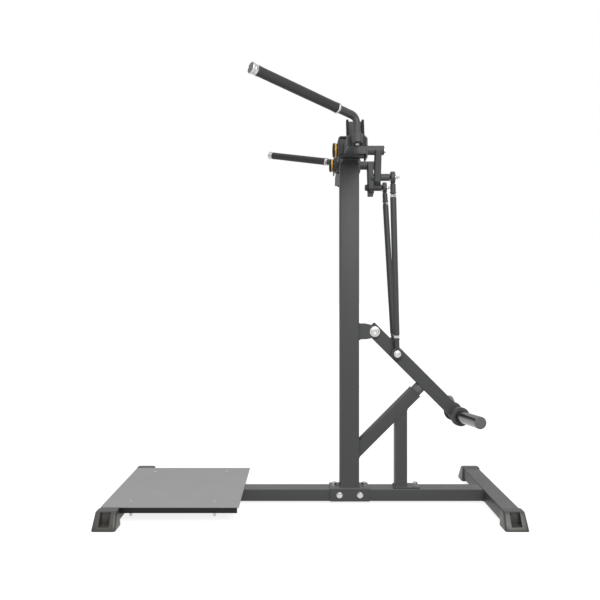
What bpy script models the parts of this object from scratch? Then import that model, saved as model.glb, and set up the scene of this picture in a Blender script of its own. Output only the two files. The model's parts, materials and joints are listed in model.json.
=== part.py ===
"""Standing chest fly machine with a plate loaded lever. Metres, Z up, the user faces -X."""

import math

import bmesh
import bpy
from mathutils import Matrix, Vector

# Fits and plate thicknesses shared by many pieces
GAP = 0.0003
WALL = 0.003
PLATE = 0.006
TUBE_RADIUS = 0.005
CORNER_STEPS = 3
ROUND = 20
SMALL_ROUND = 12
BENT_SIDES = 16
MERGE = 0.00001
OVERLAP = 0.001

# Base
BASE_LENGTH = 1.620
BASE_WIDTH = 0.750
TUBE_LIFT = 0.010
TUBE_HEIGHT = 0.050
BEAM_WIDTH = 0.080
CROSS_DEPTH = 0.070
CROSS_HALF = 0.318
FOOT_DEPTH = 0.090
FOOT_TOP_DEPTH = 0.079
FOOT_HEIGHT = 0.064
FOOT_INNER = 0.291
FOOT_TOP_OUTER = 0.334
FOOT_SHOULDER_OUTER = 0.342
FOOT_SHOULDER_DROP = 0.008
FOOT_LIP = 0.004
FOOT_EDGE = 0.0025
FOOT_RECESS_RADIUS = 0.020
FOOT_RECESS_Y = 0.358
FOOT_RECESS_FLOOR = 0.014
FOOT_RECESS_TOP = 0.0565

# Upright, saddle, brace and rear post
UPRIGHT_X = 0.170
UPRIGHT_SIZE = 0.080
UPRIGHT_TOP = 1.4287
SADDLE_FRONT = 0.088
SADDLE_BACK = 0.252
SADDLE_SIDE_BOLT = 0.043
SADDLE_TOP_BOLT_INSET = 0.0195
POST_X = 0.388
POST_DEPTH = 0.050
POST_WIDTH = 0.060
POST_PLATE_FRONT = 0.357
POST_PLATE_BACK = 0.466
POST_PLATE_HALF = 0.034
POST_BOLT_X = 0.451
BRACE_HEIGHT = 0.050
BRACE_WIDTH = 0.060
BRACE_RISE = 0.0142
BRACE_END_SUM = 0.9105
BRACE_CAP = 0.003
BUMPER_BASE_RADIUS = 0.0285
BUMPER_TOP_RADIUS = 0.024
BUMPER_EDGE = 0.002

# Bolts of the base
BASE_BOLT_RADIUS = 0.006
BASE_BOLT_FLATS = 0.019
BASE_BOLT_HEAD = 0.007
BASE_BOLT_LENGTH = 0.018
BASE_BOLT_HEIGHT = 0.037

# Deck
DECK_FRONT = -0.800
DECK_BACK = -0.272
DECK_HALF = 0.287
DECK_TOP = 0.065
DECK_LIP = 0.003
DECK_LIP_BOTTOM = 0.043
DECK_LIP_CLEARANCE = 0.002
DECK_BOLT_XS = (-0.701, -0.3735)
DECK_BOLT_Y = 0.216
DECK_BOLT_RADIUS = 0.004
DECK_BOLT_HEAD_RADIUS = 0.0065
DECK_BOLT_HEAD = 0.003
DECK_BOLT_BOTTOM = 0.0075
DECK_NUT_FLATS = 0.013
DECK_NUT = 0.008
OUTRIGGER_WIDTH = 0.040
OUTRIGGER_HEIGHT = 0.030
OUTRIGGER_END = 0.250

# Head of the frame and the two arm pivots
HEAD_SIZE = 0.070
PIVOT_Y = 0.158
PIVOT_Z = 1.454
HOUSING_FRONT = 0.112
HOUSING_BACK = 0.228
HOUSING_INNER = 0.112
HOUSING_OUTER = 0.214
HOUSING_BOTTOM = 1.416
HOUSING_WALL_BOTTOM = 1.430
HOUSING_TOP = 1.4986
HOUSING_RADIUS = 0.012
SHAFT_RADIUS = 0.0188
SHAFT_FRONT = 0.098
SHAFT_BACK = 0.2985
SHAFT_NUT_FLATS = 0.017
SHAFT_NUT = 0.0073
BUSH_RADIUS = 0.0225
BUSH_FLANGE_RADIUS = 0.0265
BUSH_FLANGE = 0.0037
CAP_RADIUS = 0.029
CAP_FRONT = 0.0916
CAP_BACK = 0.1005
CAP_EDGE = 0.002
RING_BACK = 0.1076

# Arm, yoke and swivel barrel
ARM_SIDE_GAP = 0.0006
HUB_RADIUS = 0.027
FLANGE_INNER = 0.208
FLANGE_BOTTOM = 1.430
FLANGE_TOP = 1.4872
GUSSET = 0.005
GUSSET_HALF = 0.022
ARM_WIDTH = 0.066
ARM_HEIGHT = 0.040
ARM_X = 0.166
ARM_PLATE = 0.006
ARM_PLATE_CHAMFER = 0.012
ARM_PLATE_BITE = 0.003
YOKE_Y = 0.3923
YOKE_DEPTH = 0.025
YOKE_HEIGHT = 0.082
YOKE_WEB = 0.005
YOKE_RADIUS = 0.012
BEND_Y = 0.428
BEND_Z = 1.516
STEM_LEAN = math.radians(20.0)
BARREL_TOP = 0.0752
BARREL_LENGTH = 0.038
BARREL_RADIUS = 0.0205
BARREL_RECESS = 0.007
BARREL_RECESS_RADIUS = 0.0165

# Handle
HANDLE_RADIUS = 0.0125
HANDLE_WALL = 0.0025
HANDLE_BEND = 0.024
HANDLE_BEND_STEPS = 7
HANDLE_END = 0.440
THRUST_RING = 0.004
THRUST_RING_RADIUS = 0.0165
GRIP_OUTWARD = math.radians(36.7)
GRIP_COLLAR_START = 0.082
GRIP_START = 0.094
GRIP_STOP = 0.430
GRIP_RADIUS = 0.018
GRIP_EDGE = 0.002
GRIP_RING_RADIUS = 0.0195
GRIP_CAP_END = 0.453
SWIVEL_WASHER_RADIUS = 0.016
SWIVEL_WASHER = 0.0025
SWIVEL_PLUG = 0.022
SWIVEL_HEAD_RADIUS = 0.009
SWIVEL_HEAD = 0.0065

# Crank
CRANK_X = 0.275
CRANK_THICK = 0.025
CRANK_WIDTH = 0.050
CRANK_WALL = 0.0028
CRANK_LEAN = math.radians(14.3)
CRANK_START = -0.002
CRANK_PIN = 0.107
CRANK_STOP = 0.1222
CRANK_CAP_END = 0.1415
CRANK_CAP_EDGE = 0.003
SLEEVE_RADIUS = 0.0145
SLEEVE_FRONT = 0.256
SLEEVE_BACK = 0.325
PIN_RADIUS = 0.008
PIN_HEAD_FLATS = 0.022
PIN_HEAD = 0.006

# Push rods and their ball ends
ROD_TOP_X = 0.3375
ROD_BOTTOM_Y = 0.043
ROD_RADIUS = 0.0125
EYE_RADIUS = 0.024
EYE_HALF = 0.0085
EYE_EDGE = 0.002
BALL_RADIUS = 0.0143
BALL_HALF = 0.0103
RACE_STEPS = 8
NECK_RADIUS = 0.0083
NECK_START = 0.018
COLLAR_START = 0.025
COLLAR_RADIUS = 0.011
LIP_START = 0.058
LIP_RADIUS = 0.0128
LIP_END = 0.064
THREAD_END = 0.100
JAM_NUT_FLATS = 0.022
JAM_NUT = 0.0155
UPPER_SPACER_RADIUS = 0.011
UPPER_SPACER_FACE = 0.006
UPPER_SPACER_GAP = 0.0006
UPPER_STUB_RADIUS = 0.005
UPPER_STUB = 0.017
UPPER_NUT_RADIUS = 0.0068
UPPER_NUT_START = 0.009
LOWER_SPACER_RADIUS = 0.011
LOWER_SPACER = 0.0030
LOWER_WASHER_RADIUS = 0.0150
LOWER_HEAD_RADIUS = 0.0135
LOWER_HEAD = 0.005

# Lever, its bracket and the plate horns
LEVER_PIVOT = Vector((0.276, 0.0, 0.720))
LEVER_WIDTH = 0.050
LEVER_HEIGHT = 0.055
LEVER_START = -0.024
LEVER_STOP = 0.525
LEVER_CAP = 0.004
LEVER_ROD = 0.130
LEVER_SLEEVE_RADIUS = 0.018
LEVER_PIN_RADIUS = 0.010
LEVER_WASHER_RADIUS = 0.0215
LEVER_WASHER = 0.0025
LEVER_HEAD_RADIUS = 0.0155
LEVER_HEAD = 0.006
BRACKET_BACK = 0.010
BRACKET_HALF_HEIGHT = 0.033
BRACKET_HALF_WIDTH = 0.038
CHEEK_INNER = 0.028
CHEEK_OUTER = 0.036
CHEEK_SHOULDER_X = 0.241
CHEEK_RADIUS = 0.0255
HORN_RADIUS = 0.02415
HORN_REACH = 0.4957
HORN_REFERENCE_Y = 0.066
HORN_SWEEP = 0.054
HORN_RISE = 0.144
HORN_END_Y = 0.272
HORN_DISC = 0.004
STOP_INNER_Y = 0.055
STOP_LENGTH = 0.022
STOP_RADIUS = 0.039
STOP_GROOVE = 0.0025
STOP_GROOVE_WIDTH = 0.003
STOP_EDGE = 0.0015

X_AXIS = Vector((1.0, 0.0, 0.0))
Y_AXIS = Vector((0.0, 1.0, 0.0))
Z_AXIS = Vector((0.0, 0.0, 1.0))
DIAGONAL = math.sqrt(0.5)
LEFT = -1
RIGHT = 1

# Places worked out from the sizes above
TUBE_TOP = TUBE_LIFT + TUBE_HEIGHT
TUBE_MIDDLE = TUBE_LIFT + TUBE_HEIGHT / 2
CROSS_X = BASE_LENGTH / 2 - FOOT_DEPTH / 2
UPRIGHT_BACK = UPRIGHT_X + UPRIGHT_SIZE / 2
SADDLE_TOP = TUBE_TOP + GAP + PLATE
SADDLE_HALF = BEAM_WIDTH / 2 + GAP + PLATE
LEVER_ALONG = Vector((DIAGONAL, 0.0, -DIAGONAL))
LEVER_UP = Vector((DIAGONAL, 0.0, DIAGONAL))
BRACE_ALONG = Vector((DIAGONAL, 0.0, DIAGONAL))
STEM_UP = Vector((0.0, -math.sin(STEM_LEAN), math.cos(STEM_LEAN)))
STEM_OUT = Vector((0.0, math.cos(STEM_LEAN), math.sin(STEM_LEAN)))
BEND = Vector((ARM_X, BEND_Y, BEND_Z))
BARREL_CENTRE = BEND - STEM_UP * (BARREL_TOP + BARREL_LENGTH / 2)
GRIP_ALONG = STEM_OUT * math.sin(GRIP_OUTWARD) - X_AXIS * math.cos(GRIP_OUTWARD)
ARM_PIVOT = Vector((0.0, PIVOT_Y, PIVOT_Z))
ARM_ALONG = Vector((0.0, BARREL_CENTRE.y - PIVOT_Y, BARREL_CENTRE.z - PIVOT_Z)).normalized()
CRANK_ALONG = Vector((0.0, -math.sin(CRANK_LEAN), -math.cos(CRANK_LEAN)))
ROD_TOP = Vector((ROD_TOP_X, 0.0, 0.0)) + ARM_PIVOT + CRANK_ALONG * CRANK_PIN
ROD_BOTTOM = LEVER_PIVOT + LEVER_ALONG * LEVER_ROD + Y_AXIS * ROD_BOTTOM_Y
ROD_UP = (ROD_TOP - ROD_BOTTOM).normalized()


def clear_scene():
    """Removes every object that a new scene starts with."""
    for item in list(bpy.data.objects):
        bpy.data.objects.remove(item)


def new_collection(name):
    """Makes a collection in the scene."""
    made = bpy.data.collections.new(name)
    bpy.context.scene.collection.children.link(made)
    return made


clear_scene()
PARTS = new_collection("standing_chest_fly_machine")
TOOLS = new_collection("cutters")


def basis(origin, along, across):
    """A place whose local Z runs along, and whose local X is as near across as it can be."""
    z = Vector(along).normalized()
    x = Vector(across)
    x = (x - z * x.dot(z)).normalized()
    y = z.cross(x)
    place = Matrix((x, y, z)).transposed().to_4x4()
    place.translation = Vector(origin)
    return place


def side_view(y):
    """A place for outlines drawn in X and Z, which run towards -Y from y."""
    return basis((0.0, y, 0.0), -Y_AXIS, X_AXIS)


def front_view(x):
    """A place for outlines drawn in Y and Z, which run towards +X from x."""
    return basis((x, 0.0, 0.0), X_AXIS, Y_AXIS)


def arc(centre, radius, start, stop, steps):
    """Points on an arc, angles in degrees."""
    points = []
    for step in range(steps + 1):
        angle = math.radians(start + (stop - start) * step / steps)
        x = centre[0] + radius * math.cos(angle)
        y = centre[1] + radius * math.sin(angle)
        points.append((x, y))
    return points


def circle(radius, count=ROUND, centre=(0.0, 0.0)):
    """A closed round outline."""
    return arc(centre, radius, 0.0, 360.0, count)[:-1]


def hexagon(flats):
    """A closed six sided outline, sized across its flats."""
    return circle(flats / math.sqrt(3.0), 6)


def rectangle(width, height, radius=0.0):
    """A closed outline round the origin, with rounded corners if radius isn't zero."""
    x = width / 2 - radius
    y = height / 2 - radius
    if not radius:
        return [(x, y), (-x, y), (-x, -y), (x, -y)]
    points = arc((x, y), radius, 0.0, 90.0, CORNER_STEPS)
    points += arc((-x, y), radius, 90.0, 180.0, CORNER_STEPS)
    points += arc((-x, -y), radius, 180.0, 270.0, CORNER_STEPS)
    points += arc((x, -y), radius, 270.0, 360.0, CORNER_STEPS)
    return points


def cleaned(mesh):
    """The same mesh as one closed skin whose faces all look outwards."""
    work = bmesh.new()
    work.from_mesh(mesh)
    bmesh.ops.remove_doubles(work, verts=work.verts, dist=MERGE)
    bmesh.ops.recalc_face_normals(work, faces=work.faces)
    work.to_mesh(mesh)
    work.free()
    return mesh


def evaluated_mesh(data, adjust=None):
    """What a curve or a mesh with a modifier looks like, as a plain mesh."""
    carrier = bpy.data.objects.new("carrier", data)
    bpy.context.scene.collection.objects.link(carrier)
    if adjust:
        adjust(carrier)
    bpy.context.view_layer.update()
    graph = bpy.context.evaluated_depsgraph_get()
    mesh = bpy.data.meshes.new_from_object(carrier.evaluated_get(graph))
    bpy.data.objects.remove(carrier)
    return cleaned(mesh)


def slide_to_plane(mesh, place, level, plane):
    """Slides the end of a prism that lies at that local height onto a plane."""
    point, normal = plane
    spot = place.inverted() @ Vector(point)
    facing = place.to_3x3().transposed() @ Vector(normal)
    for vertex in mesh.vertices:
        if abs(vertex.co.z - level) < MERGE:
            offset = facing.x * (vertex.co.x - spot.x) + facing.y * (vertex.co.y - spot.y)
            vertex.co.z = spot.z - offset / facing.z


def prism(loops, place, length, start=None, stop=None):
    """Outlines drawn out along the place's Z. Later outlines are holes. Ends may lie on planes."""
    curve = bpy.data.curves.new("outline", "CURVE")
    curve.dimensions = "2D"
    curve.fill_mode = "BOTH"
    curve.extrude = length / 2
    for loop in loops:
        spline = curve.splines.new("POLY")
        spline.points.add(len(loop) - 1)
        for point, (x, y) in zip(spline.points, loop):
            point.co = (x, y, 0.0, 1.0)
        spline.use_cyclic_u = True
    mesh = evaluated_mesh(curve)
    mesh.transform(Matrix.Translation((0.0, 0.0, length / 2)))
    if start:
        slide_to_plane(mesh, place, 0.0, start)
    if stop:
        slide_to_plane(mesh, place, length, stop)
    mesh.transform(place)
    return mesh


def box_tube(width, height, place, length, start=None, stop=None, wall=WALL):
    """A hollow rectangular tube with open ends."""
    outer = rectangle(width, height, TUBE_RADIUS)
    inner = rectangle(width - 2 * wall, height - 2 * wall)
    return prism([outer, inner], place, length, start, stop)


def ring_tube(radius, bore, place, length, start=None, stop=None):
    """A hollow round tube with open ends."""
    return prism([circle(radius), circle(bore)], place, length, start, stop)


def rod(radius, place, length, count=ROUND):
    """A solid round bar."""
    work = bmesh.new()
    bmesh.ops.create_cone(
        work, cap_ends=True, segments=count, radius1=radius, radius2=radius, depth=length
    )
    mesh = bpy.data.meshes.new("rod")
    work.to_mesh(mesh)
    work.free()
    mesh.transform(place @ Matrix.Translation((0.0, 0.0, length / 2)))
    return mesh


def box(xs, ys, zs):
    """A box between two values on each axis."""
    work = bmesh.new()
    bmesh.ops.create_cube(work, size=1.0)
    mesh = bpy.data.meshes.new("box")
    work.to_mesh(mesh)
    work.free()
    size = Matrix.Diagonal((xs[1] - xs[0], ys[1] - ys[0], zs[1] - zs[0], 1.0))
    middle = (sum(xs) / 2, sum(ys) / 2, sum(zs) / 2)
    mesh.transform(Matrix.Translation(middle) @ size)
    return mesh


def lathe(profile, place, steps=ROUND):
    """A profile of radius and height turned round the place's Z. A profile off the axis is a ring."""
    points = [(radius, 0.0, height) for radius, height in profile]
    edges = [(i, i + 1) for i in range(len(points) - 1)]
    if min(radius for radius, _ in profile) > MERGE:
        edges.append((len(points) - 1, 0))
    mesh = bpy.data.meshes.new("profile")
    mesh.from_pydata(points, edges, [])

    def turn(carrier):
        screw = carrier.modifiers.new("turn", "SCREW")
        screw.steps = steps
        screw.render_steps = steps
        screw.use_merge_vertices = True
        screw.merge_threshold = MERGE

    made = evaluated_mesh(mesh, turn)
    made.transform(place)
    return made


def joined(meshes):
    """Several solids as one mesh."""
    work = bmesh.new()
    for mesh in meshes:
        work.from_mesh(mesh)
    made = bpy.data.meshes.new("solids")
    work.to_mesh(made)
    work.free()
    return made


def on_side(mesh, side):
    """The same mesh on the left or on the right of the machine."""
    if side == LEFT:
        mesh.transform(Matrix.Diagonal((1.0, -1.0, 1.0, 1.0)))
        mesh.flip_normals()
    return mesh


def add_tool(meshes, side):
    """An object that only shapes another one."""
    item = bpy.data.objects.new("tool", on_side(joined(meshes), side))
    item.hide_render = True
    item.display_type = "WIRE"
    TOOLS.objects.link(item)
    return item


def shape(target, meshes, operation, side):
    """Joins solids to a sub-part, or takes them away from it."""
    modifier = target.modifiers.new(operation.lower(), "BOOLEAN")
    modifier.operation = operation
    modifier.solver = "EXACT"
    modifier.object = add_tool(meshes, side)


def weld(target, meshes, side=RIGHT):
    """Joins solids to a sub-part as one body."""
    shape(target, meshes, "UNION", side)


def cut(target, meshes, side=RIGHT):
    """Takes solids away from a sub-part."""
    shape(target, meshes, "DIFFERENCE", side)


def soften(target, width, segments=1):
    """Rounds the sharp edges of a sub-part."""
    bevel = target.modifiers.new("edges", "BEVEL")
    bevel.width = width
    bevel.segments = segments
    bevel.limit_method = "ANGLE"


def add_part(name, meshes, paint, side=RIGHT, pivot=None):
    """A named sub-part, whose origin is its pivot if it moves."""
    mesh = on_side(joined(meshes), side)
    mesh.name = name
    mesh.materials.append(paint)
    mesh.shade_smooth()
    mesh.set_sharp_from_angle(angle=math.radians(30.0))
    item = bpy.data.objects.new(name, mesh)
    if pivot:
        spot = Vector((pivot[0], pivot[1] * side, pivot[2]))
        mesh.transform(Matrix.Translation(-spot))
        item.location = spot
    PARTS.objects.link(item)
    return item


def side_name(side, name):
    """The name of a piece that the machine has on both sides."""
    return ("left_" if side == LEFT else "right_") + name


# Materials
def material(name, colour, roughness, metallic):
    """A plain material, made once."""
    made = bpy.data.materials.get(name)
    if made:
        return made
    made = bpy.data.materials.new(name)
    made.use_nodes = True
    shader = made.node_tree.nodes["Principled BSDF"]
    shader.inputs["Base Color"].default_value = (*colour, 1.0)
    shader.inputs["Roughness"].default_value = roughness
    shader.inputs["Metallic"].default_value = metallic
    return made


def frame_paint():
    """Charcoal powder coat on the frame."""
    return material("frame_paint", (0.075, 0.075, 0.075), 0.5, 0.2)


def deck_paint():
    """Charcoal powder coat on the standing deck."""
    return material("deck_paint", (0.085, 0.085, 0.085), 0.6, 0.1)


def foot_plastic():
    """Dark moulded plastic."""
    return material("foot_plastic", (0.050, 0.048, 0.042), 0.55, 0.0)


def black_plastic():
    """Black moulded plastic."""
    return material("black_plastic", (0.015, 0.015, 0.015), 0.4, 0.0)


def ring_plastic():
    """Yellow moulded plastic."""
    return material("ring_plastic", (0.75, 0.55, 0.03), 0.4, 0.0)


def bumper_rubber():
    """Grey black rubber."""
    return material("bumper_rubber", (0.06, 0.06, 0.06), 0.7, 0.0)


def grip_rubber():
    """Black rubber of the hand grips."""
    return material("grip_rubber", (0.012, 0.012, 0.012), 0.65, 0.0)


def chrome():
    """Polished plating."""
    return material("chrome", (0.80, 0.80, 0.80), 0.08, 1.0)


def zinc_steel():
    """Plated nuts and bolts."""
    return material("zinc_steel", (0.66, 0.65, 0.62), 0.3, 1.0)


def satin_steel():
    """Satin steel of the horns."""
    return material("satin_steel", (0.60, 0.60, 0.59), 0.28, 1.0)


def bearing_metal():
    """Dark bearing metal."""
    return material("bearing_metal", (0.12, 0.11, 0.10), 0.4, 0.9)


# Bolts
def bolt_heads(seats, flats, height):
    """Six sided heads, sunk a little. A seat is a point, the way the head looks and one way across."""
    heads = []
    for point, way, across in seats:
        start = Vector(point) - Vector(way) * OVERLAP
        heads.append(prism([hexagon(flats)], basis(start, way, across), height + OVERLAP))
    return heads


def bolt_shanks(seats, radius, length):
    """Shanks that start halfway into the plate under their heads."""
    shanks = []
    for point, way, across in seats:
        start = Vector(point) - Vector(way) * length
        shanks.append(rod(radius, basis(start, way, across), length - PLATE / 2, SMALL_ROUND))
    return shanks


def weld_bolts(target, seats):
    """Adds the bolts of the base to the plate that they hold."""
    weld(target, bolt_shanks(seats, BASE_BOLT_RADIUS, BASE_BOLT_LENGTH))
    weld(target, bolt_heads(seats, BASE_BOLT_FLATS, BASE_BOLT_HEAD))


# Base
def saddle_bolt_seats():
    """Where the bolts of the saddle sit: two on top and two on each side."""
    seats = []
    for x in (SADDLE_FRONT + SADDLE_TOP_BOLT_INSET, SADDLE_BACK - SADDLE_TOP_BOLT_INSET):
        seats.append((Vector((x, 0.0, SADDLE_TOP)), Z_AXIS, X_AXIS))
    for offset in (-SADDLE_SIDE_BOLT, SADDLE_SIDE_BOLT):
        for side in (LEFT, RIGHT):
            point = Vector((UPRIGHT_X + offset, side * SADDLE_HALF, BASE_BOLT_HEIGHT))
            seats.append((point, Y_AXIS * side, X_AXIS))
    return seats


def post_bolt_seats():
    """Where the bolt of the post's plate sits."""
    return [(Vector((POST_BOLT_X, 0.0, SADDLE_TOP)), Z_AXIS, X_AXIS)]


def beam_bolt_holes():
    """Clearance holes for the bolts of the base."""
    seats = saddle_bolt_seats() + post_bolt_seats()
    return bolt_shanks(seats, BASE_BOLT_RADIUS + GAP, BASE_BOLT_LENGTH + GAP)


def make_main_beam():
    """The long tube of the base, with the four short tubes that carry the deck."""
    half = CROSS_X - CROSS_DEPTH / 2 - GAP
    place = basis((-half, 0.0, TUBE_MIDDLE), X_AXIS, Y_AXIS)
    beam = add_part("main_beam", [box_tube(BEAM_WIDTH, TUBE_HEIGHT, place, 2 * half)], frame_paint())
    weld(beam, outriggers())
    cut(beam, beam_bolt_holes() + deck_bolt_holes())


def make_cross_tube(name, x):
    """A tube across an end of the base."""
    place = basis((x, -CROSS_HALF, TUBE_MIDDLE), Y_AXIS, X_AXIS)
    add_part(name, [box_tube(CROSS_DEPTH, TUBE_HEIGHT, place, 2 * CROSS_HALF)], frame_paint())


def foot_cap(x):
    """A moulded cap whose ends slope and whose width narrows upwards."""
    outline = [
        (FOOT_INNER, 0.0),
        (BASE_WIDTH / 2, 0.0),
        (BASE_WIDTH / 2, FOOT_LIP),
        (FOOT_SHOULDER_OUTER, FOOT_HEIGHT - FOOT_SHOULDER_DROP),
        (FOOT_TOP_OUTER, FOOT_HEIGHT),
        (FOOT_INNER, FOOT_HEIGHT),
    ]
    mesh = prism([outline], front_view(x - FOOT_DEPTH / 2), FOOT_DEPTH)
    narrowing = (1.0 - FOOT_TOP_DEPTH / FOOT_DEPTH) / FOOT_HEIGHT
    for vertex in mesh.vertices:
        vertex.co.x = x + (vertex.co.x - x) * (1.0 - narrowing * vertex.co.z)
    return mesh


def foot_pocket(x):
    """The room for the end of the cross tube in a foot cap."""
    half = CROSS_DEPTH / 2 + GAP
    ys = (FOOT_INNER - OVERLAP, CROSS_HALF + GAP)
    zs = (TUBE_LIFT - GAP, TUBE_TOP + GAP)
    return box((x - half, x + half), ys, zs)


def foot_recess(x):
    """The hollow in the outer face of a foot cap."""
    place = basis((x, FOOT_RECESS_Y, FOOT_RECESS_FLOOR), Z_AXIS, X_AXIS)
    return rod(FOOT_RECESS_RADIUS, place, FOOT_RECESS_TOP - FOOT_RECESS_FLOOR)


def make_foot_cap(name, x, side):
    """A cap on an end of a cross tube."""
    cap = add_part(side_name(side, name), [foot_cap(x)], foot_plastic(), side)
    soften(cap, FOOT_EDGE, 2)
    cut(cap, [foot_pocket(x)], side)
    cut(cap, [foot_recess(x)], side)


def make_upright():
    """The tall column, with the short tube across its top."""
    bottom = SADDLE_TOP + GAP
    place = basis((UPRIGHT_X, 0.0, bottom), Z_AXIS, X_AXIS)
    tube = box_tube(UPRIGHT_SIZE, UPRIGHT_SIZE, place, UPRIGHT_TOP + WALL / 2 - bottom)
    upright = add_part("upright_column", [tube], frame_paint())
    half = HOUSING_INNER - GAP
    head = basis((UPRIGHT_X, -half, UPRIGHT_TOP + HEAD_SIZE / 2), Y_AXIS, X_AXIS)
    weld(upright, [box_tube(HEAD_SIZE, HEAD_SIZE, head, 2 * half)])


def make_saddle():
    """The folded plate that holds the column on the beam, with its bolts."""
    inner = BEAM_WIDTH / 2 + GAP
    bottom = TUBE_LIFT + GAP
    under = TUBE_TOP + GAP
    outline = [
        (-SADDLE_HALF, bottom),
        (-SADDLE_HALF, SADDLE_TOP),
        (SADDLE_HALF, SADDLE_TOP),
        (SADDLE_HALF, bottom),
        (inner, bottom),
        (inner, under),
        (-inner, under),
        (-inner, bottom),
    ]
    mesh = prism([outline], front_view(SADDLE_FRONT), SADDLE_BACK - SADDLE_FRONT)
    saddle = add_part("upright_saddle", [mesh], frame_paint())
    weld_bolts(saddle, saddle_bolt_seats())


def make_rear_post():
    """The short post under the brace, on its plate, with the bolt of the plate."""
    bottom = SADDLE_TOP - PLATE / 2
    place = basis((POST_X, 0.0, bottom), Z_AXIS, X_AXIS)
    drop = (BRACE_HEIGHT / 2 + GAP) / DIAGONAL
    top = (POST_X, 0.0, POST_X + BRACE_RISE - drop)
    tube = box_tube(POST_DEPTH, POST_WIDTH, place, top[2] - bottom, stop=(top, (1.0, 0.0, -1.0)))
    post = add_part("rear_post", [tube], frame_paint())
    zs = (TUBE_TOP + GAP, SADDLE_TOP)
    weld(post, [box((POST_PLATE_FRONT, POST_PLATE_BACK), (-POST_PLATE_HALF, POST_PLATE_HALF), zs)])
    weld_bolts(post, post_bolt_seats())


def brace_length():
    """The length of the brace on its centre line."""
    start = UPRIGHT_BACK + GAP
    return (BRACE_END_SUM - 2 * start - BRACE_RISE) * DIAGONAL


def brace_place(distance):
    """A place on the centre line of the brace."""
    start = Vector((UPRIGHT_BACK + GAP, 0.0, UPRIGHT_BACK + GAP + BRACE_RISE))
    return basis(start + BRACE_ALONG * distance, BRACE_ALONG, Y_AXIS)


def make_brace():
    """The slanted tube that stops the lever, with a plate on its end."""
    plane = ((UPRIGHT_BACK + GAP, 0.0, 0.0), X_AXIS)
    end = brace_length()
    outline = rectangle(BRACE_WIDTH, BRACE_HEIGHT, TUBE_RADIUS)
    solid = prism([outline], brace_place(0.0), end + BRACE_CAP, start=plane)
    brace = add_part("brace", [solid], frame_paint())
    core = rectangle(BRACE_WIDTH - 2 * WALL, BRACE_HEIGHT - 2 * WALL)
    cut(brace, [prism([core], brace_place(-BRACE_HEIGHT), end + BRACE_HEIGHT)])


def make_bumper():
    """The rubber stop under the lever."""
    start = brace_length() + BRACE_CAP + GAP
    lever_sum = LEVER_PIVOT.x + LEVER_PIVOT.z
    face = (lever_sum - BRACE_END_SUM) * DIAGONAL - LEVER_HEIGHT / 2
    height = face - (start - brace_length()) - GAP
    profile = [
        (0.0, height),
        (BUMPER_TOP_RADIUS - BUMPER_EDGE, height),
        (BUMPER_TOP_RADIUS, height - BUMPER_EDGE),
        (BUMPER_BASE_RADIUS, BUMPER_EDGE),
        (BUMPER_BASE_RADIUS - BUMPER_EDGE, 0.0),
        (0.0, 0.0),
    ]
    add_part("lever_bumper", [lathe(profile, brace_place(start))], bumper_rubber())


# Deck
def outrigger_height():
    """The height of the middle of an outrigger."""
    return TUBE_TOP - OUTRIGGER_HEIGHT / 2


def deck_bolt_holes():
    """Clearance holes for the bolts of the deck."""
    holes = []
    for x in DECK_BOLT_XS:
        for side in (LEFT, RIGHT):
            place = basis((x, side * DECK_BOLT_Y, 0.0), Z_AXIS, X_AXIS)
            holes.append(rod(DECK_BOLT_RADIUS + GAP, place, FOOT_HEIGHT * 2, SMALL_ROUND))
    return holes


def outriggers():
    """The tubes that carry the deck beside the beam."""
    tubes = []
    start = BEAM_WIDTH / 2 - WALL / 2
    for x in DECK_BOLT_XS:
        for side in (LEFT, RIGHT):
            place = basis((x, start, outrigger_height()), Y_AXIS, X_AXIS)
            tube = box_tube(OUTRIGGER_WIDTH, OUTRIGGER_HEIGHT, place, OUTRIGGER_END - start)
            tubes.append(on_side(tube, side))
    return tubes


def make_deck():
    """The standing deck, with folded lips on both sides and at the back, and its bolts."""
    under = TUBE_TOP + GAP
    sheet = box((DECK_FRONT, DECK_BACK), (-DECK_HALF, DECK_HALF), (under, DECK_TOP))
    deck = add_part("deck_plate", [sheet], deck_paint())
    lip_front = -CROSS_X + CROSS_DEPTH / 2 + DECK_LIP_CLEARANCE
    zs = (DECK_LIP_BOTTOM, under + OVERLAP)
    lips = []
    for side in (LEFT, RIGHT):
        edge = box((lip_front, DECK_BACK), (DECK_HALF - DECK_LIP, DECK_HALF), zs)
        lips.append(on_side(edge, side))
    weld(deck, lips)
    backs = []
    for side in (LEFT, RIGHT):
        ys = (BEAM_WIDTH / 2 + DECK_LIP_CLEARANCE, DECK_HALF - DECK_LIP / 2)
        edge = box((DECK_BACK - DECK_LIP, DECK_BACK), ys, zs)
        backs.append(on_side(edge, side))
    weld(deck, backs)
    weld_deck_bolts(deck)


def weld_deck_bolts(deck):
    """Adds the bolts that hold the deck, with their nuts."""
    shanks = []
    heads = []
    nut_top = TUBE_TOP - OUTRIGGER_HEIGHT - GAP
    for x in DECK_BOLT_XS:
        for side in (LEFT, RIGHT):
            y = side * DECK_BOLT_Y
            low = basis((x, y, DECK_BOLT_BOTTOM), Z_AXIS, X_AXIS)
            length = DECK_TOP - OVERLAP - DECK_BOLT_BOTTOM
            shanks.append(rod(DECK_BOLT_RADIUS, low, length, SMALL_ROUND))
            top = basis((x, y, DECK_TOP - OVERLAP), Z_AXIS, X_AXIS)
            heads.append(rod(DECK_BOLT_HEAD_RADIUS, top, DECK_BOLT_HEAD + OVERLAP, SMALL_ROUND))
            nut = basis((x, y, nut_top - DECK_NUT), Z_AXIS, X_AXIS)
            heads.append(prism([hexagon(DECK_NUT_FLATS)], nut, DECK_NUT))
    weld(deck, shanks)
    weld(deck, heads)


# Pivots
def shaft_place(x, way=X_AXIS):
    """A place on the axis of an arm pivot."""
    return basis((x, PIVOT_Y, PIVOT_Z), way, Z_AXIS)


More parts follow.
